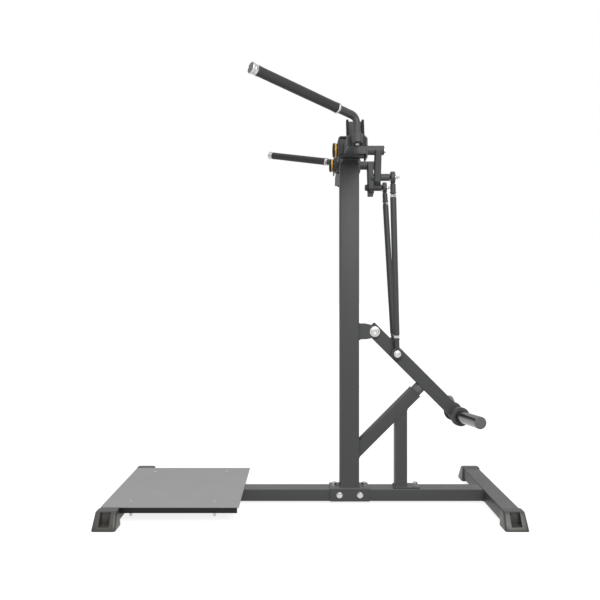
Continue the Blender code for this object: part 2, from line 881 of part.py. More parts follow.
def housing_outline(inset, bottom):
    """A plate outline with two round upper corners, seen from the side."""
    radius = HOUSING_RADIUS
    top = HOUSING_TOP - radius
    front = HOUSING_FRONT + radius
    back = HOUSING_BACK - radius
    outline = [(HOUSING_FRONT + inset, bottom)]
    outline += arc((front, top), radius - inset, 180.0, 90.0, CORNER_STEPS)
    outline += arc((back, top), radius - inset, 90.0, 0.0, CORNER_STEPS)
    outline.append((HOUSING_BACK - inset, bottom))
    return outline


def make_housing(side):
    """The folded plate that carries an arm pivot, open below and outside, its inner wall cut short."""
    outline = housing_outline(0.0, HOUSING_BOTTOM)
    mesh = prism([outline], side_view(HOUSING_OUTER), HOUSING_OUTER - HOUSING_INNER)
    housing = add_part(side_name(side, "pivot_housing"), [mesh], frame_paint(), side)
    hollow = housing_outline(PLATE, HOUSING_BOTTOM - PLATE)
    length = HOUSING_OUTER - HOUSING_INNER
    cut(housing, [prism([hollow], side_view(HOUSING_OUTER + PLATE), length)], side)
    wall_xs = (HOUSING_FRONT + PLATE, HOUSING_BACK - PLATE)
    wall_ys = (HOUSING_INNER - PLATE, HOUSING_INNER + 2 * PLATE)
    cut(housing, [box(wall_xs, wall_ys, (HOUSING_BOTTOM - PLATE, HOUSING_WALL_BOTTOM))], side)
    length = HOUSING_BACK - HOUSING_FRONT + 2 * PLATE
    bore = rod(BUSH_RADIUS + GAP, shaft_place(HOUSING_FRONT - PLATE), length)
    cut(housing, [bore], side)


def make_bearing(name, x, way, side):
    """A flanged bush of a pivot."""
    flange = PLATE + GAP
    profile = [
        (SHAFT_RADIUS + GAP, 0.0),
        (BUSH_RADIUS, 0.0),
        (BUSH_RADIUS, flange),
        (BUSH_FLANGE_RADIUS, flange),
        (BUSH_FLANGE_RADIUS, flange + BUSH_FLANGE),
        (SHAFT_RADIUS + GAP, flange + BUSH_FLANGE),
    ]
    add_part(side_name(side, name), [lathe(profile, shaft_place(x, way))], bearing_metal(), side)


def make_shaft(side):
    """The shaft that an arm and its crank share."""
    mesh = rod(SHAFT_RADIUS, shaft_place(SHAFT_FRONT), SHAFT_BACK - SHAFT_FRONT)
    shaft = add_part(side_name(side, "pivot_shaft"), [mesh], frame_paint(), side, ARM_PIVOT)
    nut = prism([hexagon(SHAFT_NUT_FLATS)], shaft_place(SHAFT_BACK - OVERLAP), SHAFT_NUT + OVERLAP)
    weld(shaft, [nut], side)


def make_shaft_cap(side):
    """The round cap on the front end of a shaft."""
    depth = CAP_BACK - CAP_FRONT
    pocket = CAP_BACK - SHAFT_FRONT + GAP
    profile = [
        (0.0, depth),
        (CAP_RADIUS - CAP_EDGE, depth),
        (CAP_RADIUS, depth - CAP_EDGE),
        (CAP_RADIUS, 0.0),
        (SHAFT_RADIUS + GAP, 0.0),
        (SHAFT_RADIUS + GAP, pocket),
        (0.0, pocket),
    ]
    mesh = lathe(profile, shaft_place(CAP_BACK, -X_AXIS))
    add_part(side_name(side, "shaft_cap"), [mesh], black_plastic(), side, ARM_PIVOT)


def make_cap_ring(side):
    """The coloured ring behind a shaft cap."""
    start = CAP_BACK + GAP
    mesh = ring_tube(CAP_RADIUS, SHAFT_RADIUS + GAP, shaft_place(start), RING_BACK - start)
    add_part(side_name(side, "shaft_cap_ring"), [mesh], ring_plastic(), side, ARM_PIVOT)


# Arm
def barrel_place(height, way=STEM_UP):
    """A place on the swivel axis, measured up from the middle of the barrel."""
    return basis(BARREL_CENTRE + STEM_UP * height, way, X_AXIS)


def arm_end_plane(depth):
    """The plane of the arm's end plate, at that distance inside the swivel axis."""
    return (BARREL_CENTRE - STEM_OUT * depth, STEM_OUT)


def arm_end_plate():
    """The plate on the end of the arm, parallel to the barrel, with cut upper corners."""
    outer = BARREL_RADIUS - ARM_PLATE_BITE
    tilt = math.acos(ARM_ALONG.dot(STEM_OUT))
    middle = (outer + ARM_PLATE / 2) * math.tan(tilt)
    half = ARM_HEIGHT / 2 / math.cos(tilt)
    x = ARM_WIDTH / 2
    cut_x = x - ARM_PLATE_CHAMFER
    low = middle - half
    high = middle + half
    outline = [(-x, low), (x, low), (x, high - ARM_PLATE_CHAMFER), (cut_x, high)]
    outline += [(-cut_x, high), (-x, high - ARM_PLATE_CHAMFER)]
    place = basis(BARREL_CENTRE - STEM_OUT * outer, -STEM_OUT, X_AXIS)
    return prism([[(across, up) for across, up in outline]], place, ARM_PLATE)


def make_arm(side):
    """The arm: hub, flange, gussets, tube, end plate, yoke and the barrel of the swivel."""
    front = HOUSING_FRONT + PLATE + ARM_SIDE_GAP
    back = HOUSING_BACK - PLATE - ARM_SIDE_GAP
    hub = rod(HUB_RADIUS, shaft_place(front), back - front)
    arm = add_part(side_name(side, "arm_beam"), [hub], frame_paint(), side, ARM_PIVOT)
    flange_ys = (FLANGE_INNER, HOUSING_OUTER)
    weld(arm, [arm_gusset(-1), arm_gusset(1)], side)
    weld(arm, [box((front, back), flange_ys, (FLANGE_BOTTOM, FLANGE_TOP))], side)
    inside = HOUSING_OUTER - PLATE / 2
    start = ((0.0, inside, 0.0), Y_AXIS)
    outer = BARREL_RADIUS - ARM_PLATE_BITE + ARM_PLATE / 2
    length = (BARREL_CENTRE - ARM_PIVOT).length
    axis = Vector((ARM_X, PIVOT_Y, PIVOT_Z))
    place = basis(axis, ARM_ALONG, X_AXIS)
    section = rectangle(ARM_WIDTH, ARM_HEIGHT, TUBE_RADIUS)
    solid = prism([section], place, length, start, arm_end_plane(outer))
    weld(arm, [solid], side)
    weld(arm, [arm_end_plate()], side)
    hollow_start = ((0.0, FLANGE_INNER - OVERLAP, 0.0), Y_AXIS)
    hollow_stop = arm_end_plane(outer + ARM_PLATE / 2)
    core = rectangle(ARM_WIDTH - 2 * WALL, ARM_HEIGHT - 2 * WALL)
    cut(arm, [prism([core], place, length, hollow_start, hollow_stop)], side)
    weld(arm, yoke_ears(), side)
    weld(arm, [yoke_web()], side)
    weld(arm, [rod(BARREL_RADIUS, barrel_place(-BARREL_LENGTH / 2), BARREL_LENGTH)], side)
    bore = rod(SHAFT_RADIUS + GAP, shaft_place(front - PLATE), back - front + 2 * PLATE)
    cut(arm, [bore, barrel_hollow()], side)


def arm_gusset(edge):
    """A plate between the hub and the flange, behind a side wall of the arm's tube."""
    outline = [
        (PIVOT_Y, PIVOT_Z - GUSSET_HALF),
        (FLANGE_INNER + OVERLAP, FLANGE_BOTTOM + OVERLAP),
        (FLANGE_INNER + OVERLAP, FLANGE_TOP - GUSSET),
        (PIVOT_Y, PIVOT_Z + GUSSET_HALF),
    ]
    middle = ARM_X + edge * (ARM_WIDTH / 2 + GUSSET)
    return prism([outline], front_view(middle - GUSSET / 2), GUSSET)


def yoke_outline(depth, height, radius):
    """The side of the yoke: its foot follows the top of the arm, its outer top corner is round."""
    tilt = math.acos(ARM_ALONG.dot(STEM_OUT))
    foot = depth * math.tan(tilt)
    points = [(0.0, 0.0), (0.0, height - radius)]
    points += arc((-radius, height - radius), radius, 0.0, 90.0, CORNER_STEPS)[1:]
    points += [(-depth, height), (-depth, foot)]
    return points


def yoke_place(x):
    """A place for outlines drawn outwards and up the yoke, which run towards -X from x."""
    run = (YOKE_Y - PIVOT_Y) / ARM_ALONG.y
    normal = Vector((0.0, -ARM_ALONG.z, ARM_ALONG.y))
    foot = ARM_PIVOT + ARM_ALONG * run + normal * (ARM_HEIGHT / 2 - WALL / 2)
    origin = Vector((x, foot.y, foot.z))
    place = Matrix((STEM_OUT, STEM_UP, STEM_OUT.cross(STEM_UP))).transposed().to_4x4()
    place.translation = origin
    return place


def yoke_ears():
    """The two ears of the yoke."""
    run = STEM_OUT.cross(STEM_UP).x
    ears = []
    for edge in (-1, 1):
        start = ARM_X + edge * (ARM_WIDTH / 2 - PLATE / 2) - run * PLATE / 2
        ears.append(prism([yoke_outline(YOKE_DEPTH, YOKE_HEIGHT, YOKE_RADIUS)], yoke_place(start), PLATE))
    return ears


def yoke_web():
    """The web between the ears of the yoke."""
    tilt = math.acos(ARM_ALONG.dot(STEM_OUT))
    inner = -YOKE_DEPTH
    outer = YOKE_WEB - YOKE_DEPTH
    web = [
        (inner + OVERLAP, -inner * math.tan(tilt)),
        (outer, -outer * math.tan(tilt)),
        (outer, YOKE_HEIGHT - OVERLAP),
        (inner + OVERLAP, YOKE_HEIGHT - OVERLAP),
    ]
    run = STEM_OUT.cross(STEM_UP).x
    start = ARM_X - run * (ARM_WIDTH - PLATE) / 2
    return prism([web], yoke_place(start), ARM_WIDTH - PLATE)


def barrel_hollow():
    """The bore of the barrel, with the recess below for the bolt."""
    half = BARREL_LENGTH / 2
    bore = HANDLE_RADIUS + GAP
    profile = [
        (0.0, half + OVERLAP),
        (bore, half + OVERLAP),
        (bore, BARREL_RECESS - half),
        (BARREL_RECESS_RADIUS, BARREL_RECESS - half),
        (BARREL_RECESS_RADIUS, -half - OVERLAP),
        (0.0, -half - OVERLAP),
    ]
    return lathe(profile, barrel_place(0.0))


# Handle
def stem_bottom():
    """How far below the middle of the barrel the handle's tube ends."""
    return BARREL_RECESS - BARREL_LENGTH / 2


def handle_points():
    """The centre line of the handle's tube."""
    points = [BARREL_CENTRE + STEM_UP * stem_bottom()]
    centre = BEND + (GRIP_ALONG - STEM_UP) * HANDLE_BEND
    for step in range(HANDLE_BEND_STEPS + 1):
        angle = math.pi / 2 * step / HANDLE_BEND_STEPS
        spoke = STEM_UP * math.sin(angle) - GRIP_ALONG * math.cos(angle)
        points.append(centre + spoke * HANDLE_BEND)
    points.append(BEND + GRIP_ALONG * HANDLE_END)
    return points


def bent_tube(points, radius, wall):
    """A hollow tube along points, with open ends."""
    curve = bpy.data.curves.new("tube", "CURVE")
    curve.dimensions = "3D"
    curve.bevel_depth = radius
    curve.bevel_resolution = BENT_SIDES // 2 - 2
    spline = curve.splines.new("POLY")
    spline.points.add(len(points) - 1)
    for point, spot in zip(spline.points, points):
        point.co = (*spot, 1.0)
    skin = evaluated_mesh(curve)

    def thicken(carrier):
        solid = carrier.modifiers.new("wall", "SOLIDIFY")
        solid.thickness = wall
        solid.offset = -1.0

    return evaluated_mesh(skin, thicken)


def make_handle_tube(side):
    """The bent tube of a handle, with a ring that rests on the barrel."""
    tube = bent_tube(handle_points(), HANDLE_RADIUS, HANDLE_WALL)
    handle = add_part(side_name(side, "handle_tube"), [tube], frame_paint(), side, BEND)
    place = barrel_place(BARREL_LENGTH / 2 + GAP)
    ring = ring_tube(THRUST_RING_RADIUS, HANDLE_RADIUS - HANDLE_WALL / 2, place, THRUST_RING)
    weld(handle, [ring], side)


def make_swivel_bolt(side):
    """The washer, bolt head and plug under a handle's tube."""
    washer = stem_bottom() - GAP
    head = washer - SWIVEL_WASHER
    plug = HANDLE_RADIUS - HANDLE_WALL - 2 * GAP
    profile = [
        (0.0, washer + SWIVEL_PLUG),
        (plug, washer + SWIVEL_PLUG),
        (plug, washer),
        (SWIVEL_WASHER_RADIUS, washer),
        (SWIVEL_WASHER_RADIUS, head),
        (SWIVEL_HEAD_RADIUS, head),
        (SWIVEL_HEAD_RADIUS, head - SWIVEL_HEAD),
        (0.0, head - SWIVEL_HEAD),
    ]
    mesh = lathe(profile, barrel_place(0.0))
    add_part(side_name(side, "swivel_bolt"), [mesh], zinc_steel(), side, BEND)


def grip_place(distance):
    """A place on the centre line of a grip."""
    return basis(BEND + GRIP_ALONG * distance, GRIP_ALONG, STEM_UP)


def make_grip(side):
    """The rubber sleeve of a grip."""
    length = GRIP_STOP - GRIP_START
    bore = HANDLE_RADIUS + GAP
    profile = [
        (bore, length),
        (GRIP_RADIUS - GRIP_EDGE, length),
        (GRIP_RADIUS, length - GRIP_EDGE),
        (GRIP_RADIUS, GRIP_EDGE),
        (GRIP_RADIUS - GRIP_EDGE, 0.0),
        (bore, 0.0),
    ]
    mesh = lathe(profile, grip_place(GRIP_START))
    add_part(side_name(side, "grip_sleeve"), [mesh], grip_rubber(), side, BEND)


def make_grip_collar(side):
    """The plated collar before a grip."""
    bore = HANDLE_RADIUS + GAP
    width = GRIP_START - GRIP_COLLAR_START - GAP
    profile = [
        (bore, width),
        (GRIP_RING_RADIUS - GRIP_EDGE, width),
        (GRIP_RING_RADIUS, width - GRIP_EDGE),
        (GRIP_RING_RADIUS, GRIP_EDGE),
        (GRIP_RING_RADIUS - GRIP_EDGE, 0.0),
        (bore, 0.0),
    ]
    mesh = lathe(profile, grip_place(GRIP_COLLAR_START))
    add_part(side_name(side, "grip_collar"), [mesh], chrome(), side, BEND)


def make_grip_cap(side):
    """The plated cap on the end of a grip."""
    bore = HANDLE_RADIUS + GAP
    start = GRIP_STOP + GAP
    depth = GRIP_CAP_END - start
    pocket = HANDLE_END - start + GAP
    profile = [
        (0.0, depth),
        (GRIP_RING_RADIUS - 2 * GRIP_EDGE, depth),
        (GRIP_RING_RADIUS, depth - 2 * GRIP_EDGE),
        (GRIP_RING_RADIUS, GRIP_EDGE),
        (GRIP_RING_RADIUS - GRIP_EDGE, 0.0),
        (bore, 0.0),
        (bore, pocket),
        (0.0, pocket),
    ]
    add_part(side_name(side, "grip_end_cap"), [lathe(profile, grip_place(start))], chrome(), side, BEND)


# Crank
def crank_place(distance):
    """A place on the centre line of a crank."""
    origin = Vector((CRANK_X, PIVOT_Y, PIVOT_Z)) + CRANK_ALONG * distance
    return basis(origin, CRANK_ALONG, X_AXIS)


def pin_place(x, way=X_AXIS):
    """A place on the axis of a crank's pin."""
    pin = ARM_PIVOT + CRANK_ALONG * CRANK_PIN
    return basis((x, pin.y, pin.z), way, Z_AXIS)


def make_crank(side):
    """The crank: a tube notched round the shaft, with its pin and the pin's head."""
    length = CRANK_STOP - CRANK_START
    tube = box_tube(CRANK_THICK, CRANK_WIDTH, crank_place(CRANK_START), length, wall=CRANK_WALL)
    crank = add_part(side_name(side, "crank_arm"), [tube], frame_paint(), side, ARM_PIVOT)
    weld(crank, [rod(SLEEVE_RADIUS, pin_place(SLEEVE_FRONT), SLEEVE_BACK - SLEEVE_FRONT)], side)
    head = prism([hexagon(PIN_HEAD_FLATS)], pin_place(SLEEVE_FRONT - PIN_HEAD), PIN_HEAD + OVERLAP)
    weld(crank, [head], side)
    shaft = rod(SHAFT_RADIUS + GAP, shaft_place(HOUSING_BACK), SHAFT_BACK - HOUSING_BACK)
    cut(crank, [shaft], side)


def make_crank_cap(side):
    """The moulded end of a crank."""
    start = CRANK_STOP + GAP
    block = prism([rectangle(CRANK_THICK, CRANK_WIDTH)], crank_place(start), CRANK_CAP_END - start)
    cap = add_part(side_name(side, "crank_end_cap"), [block], foot_plastic(), side, ARM_PIVOT)
    soften(cap, CRANK_CAP_EDGE, 2)


# Push rods
def race_arc(radius, half):
    """Points on the side of a ball or a race, from its low end to its high end."""
    reach = math.degrees(math.asin(half / radius))
    return arc((0.0, 0.0), radius, -reach, reach, RACE_STEPS)


def upper_eye_way():
    """The axis of the upper eye: X, square to the rod."""
    return (X_AXIS - ROD_UP * X_AXIS.dot(ROD_UP)).normalized()


def lower_eye_way():
    """The axis of the lower eye: Y, square to the rod."""
    return (Y_AXIS - ROD_UP * Y_AXIS.dot(ROD_UP)).normalized()


def eye_mesh(centre, way):
    """The ring of a rod end, with its round seat for the ball."""
    profile = race_arc(BALL_RADIUS + GAP, EYE_HALF)
    profile += [
        (EYE_RADIUS - EYE_EDGE, EYE_HALF),
        (EYE_RADIUS, EYE_HALF - EYE_EDGE),
        (EYE_RADIUS, EYE_EDGE - EYE_HALF),
        (EYE_RADIUS - EYE_EDGE, -EYE_HALF),
    ]
    return lathe(profile, basis(centre, way, ROD_UP))


def shank_mesh(centre, way):
    """The neck, collar and thread of a rod end."""
    thread = ROD_RADIUS - WALL - GAP
    profile = [
        (0.0, THREAD_END),
        (thread, THREAD_END),
        (thread, LIP_END),
        (LIP_RADIUS, LIP_END),
        (LIP_RADIUS, LIP_START + GRIP_EDGE),
        (COLLAR_RADIUS, LIP_START),
        (COLLAR_RADIUS, COLLAR_START + GRIP_EDGE),
        (NECK_RADIUS, COLLAR_START),
        (NECK_RADIUS, NECK_START),
        (0.0, NECK_START),
    ]
    return lathe(profile, basis(centre, way, X_AXIS))


def make_rod_end(name, centre, eye_way, rod_way, side):
    """A rod end: eye, shank and the nut that locks it."""
    end = add_part(side_name(side, name), [eye_mesh(centre, eye_way)], frame_paint(), side, ROD_BOTTOM)
    weld(end, [shank_mesh(centre, rod_way)], side)
    nut = basis(centre + rod_way * (LIP_END - OVERLAP), rod_way, X_AXIS)
    weld(end, [prism([hexagon(JAM_NUT_FLATS)], nut, JAM_NUT + OVERLAP)], side)


def make_push_rod(side):
    """The tube of a push rod."""
    length = (ROD_TOP - ROD_BOTTOM).length
    start = LIP_END + JAM_NUT + GAP
    place = basis(ROD_BOTTOM + ROD_UP * start, ROD_UP, X_AXIS)
    mesh = ring_tube(ROD_RADIUS, ROD_RADIUS - WALL, place, length - 2 * start)
    add_part(side_name(side, "push_rod"), [mesh], frame_paint(), side, ROD_BOTTOM)


def make_upper_ball(side):
    """The ball in the upper eye, with a tapered spacer that leaves room to tilt, a stub and a nut."""
    spacer = SLEEVE_BACK + UPPER_SPACER_GAP - ROD_TOP_X
    profile = [(0.0, spacer), (UPPER_SPACER_FACE, spacer), (UPPER_SPACER_RADIUS, -BALL_HALF)]
    profile += race_arc(BALL_RADIUS, BALL_HALF)
    profile += [
        (UPPER_STUB_RADIUS, BALL_HALF),
        (UPPER_STUB_RADIUS, BALL_HALF + UPPER_NUT_START),
        (UPPER_NUT_RADIUS, BALL_HALF + UPPER_NUT_START),
        (UPPER_NUT_RADIUS, BALL_HALF + UPPER_STUB),
        (0.0, BALL_HALF + UPPER_STUB),
    ]
    mesh = lathe(profile, basis(ROD_TOP, X_AXIS, Z_AXIS))
    add_part(side_name(side, "upper_pivot_bolt"), [mesh], zinc_steel(), side, ROD_BOTTOM)


def make_lower_ball(side):
    """The ball in the lower eye."""
    bore = PIN_RADIUS + GAP
    profile = race_arc(BALL_RADIUS, BALL_HALF) + [(bore, BALL_HALF), (bore, -BALL_HALF)]
    mesh = lathe(profile, basis(ROD_BOTTOM, Y_AXIS, Z_AXIS))
    add_part(side_name(side, "lower_rod_ball"), [mesh], zinc_steel(), side, ROD_BOTTOM)


# Lever
def lever_place(distance):
    """A place on the centre line of the lever."""
    return basis(LEVER_PIVOT + LEVER_ALONG * distance, LEVER_ALONG, Y_AXIS)


def make_bracket():
    """The bracket on the column: a back plate and two cheeks."""
    front = UPRIGHT_BACK + GAP
    z = LEVER_PIVOT.z
    zs = (z - BRACKET_HALF_HEIGHT, z + BRACKET_HALF_HEIGHT)
    back = box((front, front + BRACKET_BACK), (-BRACKET_HALF_WIDTH, BRACKET_HALF_WIDTH), zs)
    bracket = add_part("lever_bracket", [back], frame_paint())
    low = z - BRACKET_HALF_HEIGHT + OVERLAP
    high = z + BRACKET_HALF_HEIGHT - OVERLAP
    start = front + BRACKET_BACK / 2
    outline = [(start, low), (start, high), (CHEEK_SHOULDER_X, high)]
    outline += arc((LEVER_PIVOT.x, z), CHEEK_RADIUS, 97.0, -97.0, ROUND // 2)
    outline += [(CHEEK_SHOULDER_X, low)]
    cheeks = []
    for side in (LEFT, RIGHT):
        cheek = prism([outline], side_view(CHEEK_OUTER), CHEEK_OUTER - CHEEK_INNER)
        cheeks.append(on_side(cheek, side))
    weld(bracket, cheeks)
    place = basis((LEVER_PIVOT.x, -BRACKET_HALF_WIDTH, z), Y_AXIS, X_AXIS)
    cut(bracket, [rod(LEVER_PIN_RADIUS + GAP, place, 2 * BRACKET_HALF_WIDTH)])


def make_lever_pin():
    """The bolt on which the lever turns, with its washers."""
    washer = CHEEK_OUTER + GAP
    head = washer + LEVER_WASHER
    top = head + LEVER_HEAD
    upper = [
        (0.0, top),
        (LEVER_HEAD_RADIUS - OVERLAP, top),
        (LEVER_HEAD_RADIUS, top - OVERLAP),
        (LEVER_HEAD_RADIUS, head),
        (LEVER_WASHER_RADIUS, head),
        (LEVER_WASHER_RADIUS, washer),
        (LEVER_PIN_RADIUS, washer),
    ]
    lower = [(radius, -height) for radius, height in reversed(upper)]
    mesh = lathe(upper + lower, basis(LEVER_PIVOT, Y_AXIS, X_AXIS))
    add_part("lever_pivot_pin", [mesh], zinc_steel())


def make_lever():
    """The lever's tube with the sleeve of its pivot, two bosses and the plate on its end."""
    length = LEVER_STOP - LEVER_START
    outline = rectangle(LEVER_WIDTH, LEVER_HEIGHT, TUBE_RADIUS)
    solid = prism([outline], lever_place(LEVER_START), length + LEVER_CAP)
    lever = add_part("lever_arm", [solid], frame_paint(), pivot=LEVER_PIVOT)
    core = rectangle(LEVER_WIDTH - 2 * WALL, LEVER_HEIGHT - 2 * WALL)
    cut(lever, [prism([core], lever_place(LEVER_START - WALL), length + WALL)])
    half = CHEEK_INNER - GAP
    place = basis(LEVER_PIVOT - Y_AXIS * half, Y_AXIS, X_AXIS)
    weld(lever, [rod(LEVER_SLEEVE_RADIUS, place, 2 * half)])
    weld(lever, lever_bosses())
    reach = ROD_BOTTOM_Y
    wide = 2 * reach
    bore = basis(LEVER_PIVOT - Y_AXIS * reach, Y_AXIS, X_AXIS)
    hole = basis(ROD_BOTTOM - Y_AXIS * (ROD_BOTTOM_Y + reach), Y_AXIS, X_AXIS)
    pin = rod(LEVER_PIN_RADIUS + GAP, bore, wide)
    cut(lever, [pin, rod(PIN_RADIUS + GAP, hole, wide, SMALL_ROUND)])


def lever_bosses():
    """The bosses that hold the lower balls off the sides of the lever."""
    start = LEVER_WIDTH / 2 - WALL / 2
    length = ROD_BOTTOM_Y - BALL_HALF - GAP - start
    centre = ROD_BOTTOM - Y_AXIS * (ROD_BOTTOM_Y - start)
    bosses = []
    for side in (LEFT, RIGHT):
        bosses.append(on_side(rod(LOWER_SPACER_RADIUS, basis(centre, Y_AXIS, X_AXIS), length), side))
    return bosses


def make_rod_bolt():
    """The bolt that holds both lower balls on the lever."""
    spacer = ROD_BOTTOM_Y + BALL_HALF + GAP
    washer = spacer + LOWER_SPACER
    head = washer + LEVER_WASHER
    top = head + LOWER_HEAD
    upper = [
        (0.0, top),
        (LOWER_HEAD_RADIUS - OVERLAP, top),
        (LOWER_HEAD_RADIUS, top - OVERLAP),
        (LOWER_HEAD_RADIUS, head),
        (LOWER_WASHER_RADIUS, head),
        (LOWER_WASHER_RADIUS, washer),
        (LOWER_SPACER_RADIUS, washer),
        (LOWER_SPACER_RADIUS, spacer),
        (PIN_RADIUS, spacer),
    ]
    lower = [(radius, -height) for radius, height in reversed(upper)]
    centre = ROD_BOTTOM - Y_AXIS * ROD_BOTTOM_Y
    mesh = lathe(upper + lower, basis(centre, Y_AXIS, X_AXIS))
    add_part("lower_rod_bolt", [mesh], zinc_steel(), pivot=LEVER_PIVOT)


# Plate horns
def horn_along():
    """The way a horn runs: outwards, a little along the lever and up from it."""
    return (Y_AXIS + LEVER_ALONG * HORN_SWEEP + LEVER_UP * HORN_RISE).normalized()


def horn_place(y):
    """A place on the centre line of the right horn, at that distance from the middle."""
    out = y - HORN_REFERENCE_Y
    point = LEVER_PIVOT + LEVER_ALONG * (HORN_REACH + out * HORN_SWEEP)
    point = point + LEVER_UP * (out * HORN_RISE) + Y_AXIS * y
    return basis(point, horn_along(), X_AXIS)


def make_horn(side):
    """A horn for weight plates, welded to a side of the lever, with the plug in its end."""
    start = LEVER_WIDTH / 2 + GAP
    stop = HORN_END_Y - HORN_DISC / 2 * horn_along().y
    length = (stop - start) / horn_along().y
    plane = ((0.0, start, 0.0), Y_AXIS)
    tube = ring_tube(HORN_RADIUS, HORN_RADIUS - WALL, horn_place(start), length, start=plane)
    horn = add_part(side_name(side, "plate_horn"), [tube], satin_steel(), side, LEVER_PIVOT)
    profile = [
        (0.0, 0.0),
        (HORN_RADIUS - OVERLAP, 0.0),
        (HORN_RADIUS, -OVERLAP),
        (HORN_RADIUS, -HORN_DISC),
        (0.0, -HORN_DISC),
    ]
    weld(horn, [lathe(profile, horn_place(HORN_END_Y))], side)


def make_plate_stop(side):
    """The grooved collar against which the plates rest."""
    bore = HORN_RADIUS + GAP
    middle = STOP_LENGTH / 2
    half = STOP_GROOVE_WIDTH / 2
    profile = [
        (bore, 0.0),
        (STOP_RADIUS - STOP_EDGE, 0.0),
        (STOP_RADIUS, STOP_EDGE),
        (STOP_RADIUS, middle - half),
        (STOP_RADIUS - STOP_GROOVE, middle - half),
        (STOP_RADIUS - STOP_GROOVE, middle + half),
        (STOP_RADIUS, middle + half),
        (STOP_RADIUS, STOP_LENGTH - STOP_EDGE),
        (STOP_RADIUS - STOP_EDGE, STOP_LENGTH),
        (bore, STOP_LENGTH),
    ]
    mesh = lathe(profile, horn_place(STOP_INNER_Y))
    add_part(side_name(side, "plate_stop"), [mesh], frame_paint(), side, LEVER_PIVOT)


def make_frame():
    """Everything that stays still."""
    make_main_beam()
    make_cross_tube("front_cross_tube", -CROSS_X)
    make_cross_tube("rear_cross_tube", CROSS_X)
    for side in (LEFT, RIGHT):
        make_foot_cap("front_foot_cap", -CROSS_X, side)
        make_foot_cap("rear_foot_cap", CROSS_X, side)
    make_upright()
    make_saddle()
    make_rear_post()
    make_brace()
    make_bumper()
    make_deck()
    make_bracket()
    make_lever_pin()


def make_side(side):
    """The housing, arm, crank, handle, push rod and horn of one side."""
    make_housing(side)
    make_bearing("front_bearing", HOUSING_FRONT + PLATE, -X_AXIS, side)
    make_bearing("rear_bearing", HOUSING_BACK - PLATE, X_AXIS, side)
    make_shaft(side)
    make_shaft_cap(side)
    make_cap_ring(side)
    make_arm(side)
    make_crank(side)
    make_crank_cap(side)
    make_handle_tube(side)
    make_swivel_bolt(side)
    make_grip(side)
    make_grip_collar(side)
    make_grip_cap(side)
    make_push_rod(side)
    make_rod_end("upper_rod_end", ROD_TOP, upper_eye_way(), -ROD_UP, side)
    make_rod_end("lower_rod_end", ROD_BOTTOM, lower_eye_way(), ROD_UP, side)
    make_upper_ball(side)
    make_lower_ball(side)


def make_lever_group():
    """The lever and what both sides of it share."""
    make_lever()
    make_rod_bolt()
    for side in (LEFT, RIGHT):
        make_horn(side)
        make_plate_stop(side)


make_frame()
make_side(LEFT)
make_side(RIGHT)
make_lever_group()
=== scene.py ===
"""Standing chest fly machine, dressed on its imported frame."""

import json
import logging
import math
from dataclasses import dataclass, field, replace
from enum import Enum

import bmesh
import bpy
import numpy as np
from mathutils import Matrix

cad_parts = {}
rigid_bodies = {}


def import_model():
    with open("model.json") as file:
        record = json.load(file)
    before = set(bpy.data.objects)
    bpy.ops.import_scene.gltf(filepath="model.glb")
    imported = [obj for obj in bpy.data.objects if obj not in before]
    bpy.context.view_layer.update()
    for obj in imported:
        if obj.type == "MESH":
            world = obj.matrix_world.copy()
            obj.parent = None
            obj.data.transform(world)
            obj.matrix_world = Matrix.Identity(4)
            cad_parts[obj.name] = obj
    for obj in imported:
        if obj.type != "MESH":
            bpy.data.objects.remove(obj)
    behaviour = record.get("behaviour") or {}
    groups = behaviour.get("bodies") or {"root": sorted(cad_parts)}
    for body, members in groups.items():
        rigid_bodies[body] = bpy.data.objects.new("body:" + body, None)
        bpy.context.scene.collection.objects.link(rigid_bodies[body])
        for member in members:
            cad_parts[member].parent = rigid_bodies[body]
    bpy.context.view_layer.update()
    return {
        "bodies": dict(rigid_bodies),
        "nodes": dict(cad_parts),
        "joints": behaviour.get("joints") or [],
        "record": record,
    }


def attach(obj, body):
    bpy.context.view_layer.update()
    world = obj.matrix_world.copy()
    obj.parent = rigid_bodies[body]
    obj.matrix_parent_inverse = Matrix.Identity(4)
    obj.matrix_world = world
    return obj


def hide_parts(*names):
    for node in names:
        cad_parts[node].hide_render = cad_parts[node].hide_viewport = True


LOG = logging.getLogger("chest_fly")
Array = np.ndarray
Outputs = bpy.types.bpy_prop_collection
X, Y, Z = np.eye(3)
HALF_TURN = math.pi
SLOPE = math.sqrt(0.5)
SHARP = math.radians(38.0)
WHITE = (1.0, 1.0, 1.0, 1.0)
WALL = 0.003
SEAM_CORNER = 0.005
BEAM_MIDDLE = 0.035
PLATE_TOP = 0.0663
COLUMN_FACE = 0.2103
BOLT_FLATS = 0.019
BOLT_HEAD = 0.0066
UPRIGHT_BOLT_HEAD = 0.0120
CRANK_REACH = 0.107


class Side(Enum):
    """The two sides of the machine, as its user sees them."""

    LEFT = -1
    RIGHT = 1

    def named(self, name: str) -> str:
        """The name of a piece or node on this side, or nothing for no name."""
        return name and f"{self.name.lower()}_{name}"

    def body(self, name: str) -> str:
        """The body of that name on this side, or the one in the middle."""
        return name if name in ("frame", "lever") else self.named(name)


def unit(vector: Array) -> Array:
    """The same direction with length one."""
    return vector / np.linalg.norm(vector)


@dataclass(frozen=True)
class Place:
    """A point with three unit axes: u and v across, w along."""

    origin: Array
    u: Array
    v: Array
    w: Array

    def points(self, local: Array) -> Array:
        """World points of local ones: origin + x u + y v + z w, where flat ones have no z."""
        rise = local[..., 2:] * self.w if local.shape[-1] == 3 else 0.0
        return self.origin + local[..., :1] * self.u + local[..., 1:2] * self.v + rise

    def ahead(self, distance: float) -> "Place":
        """The same place moved along w."""
        return replace(self, origin=self.origin + self.w * distance)


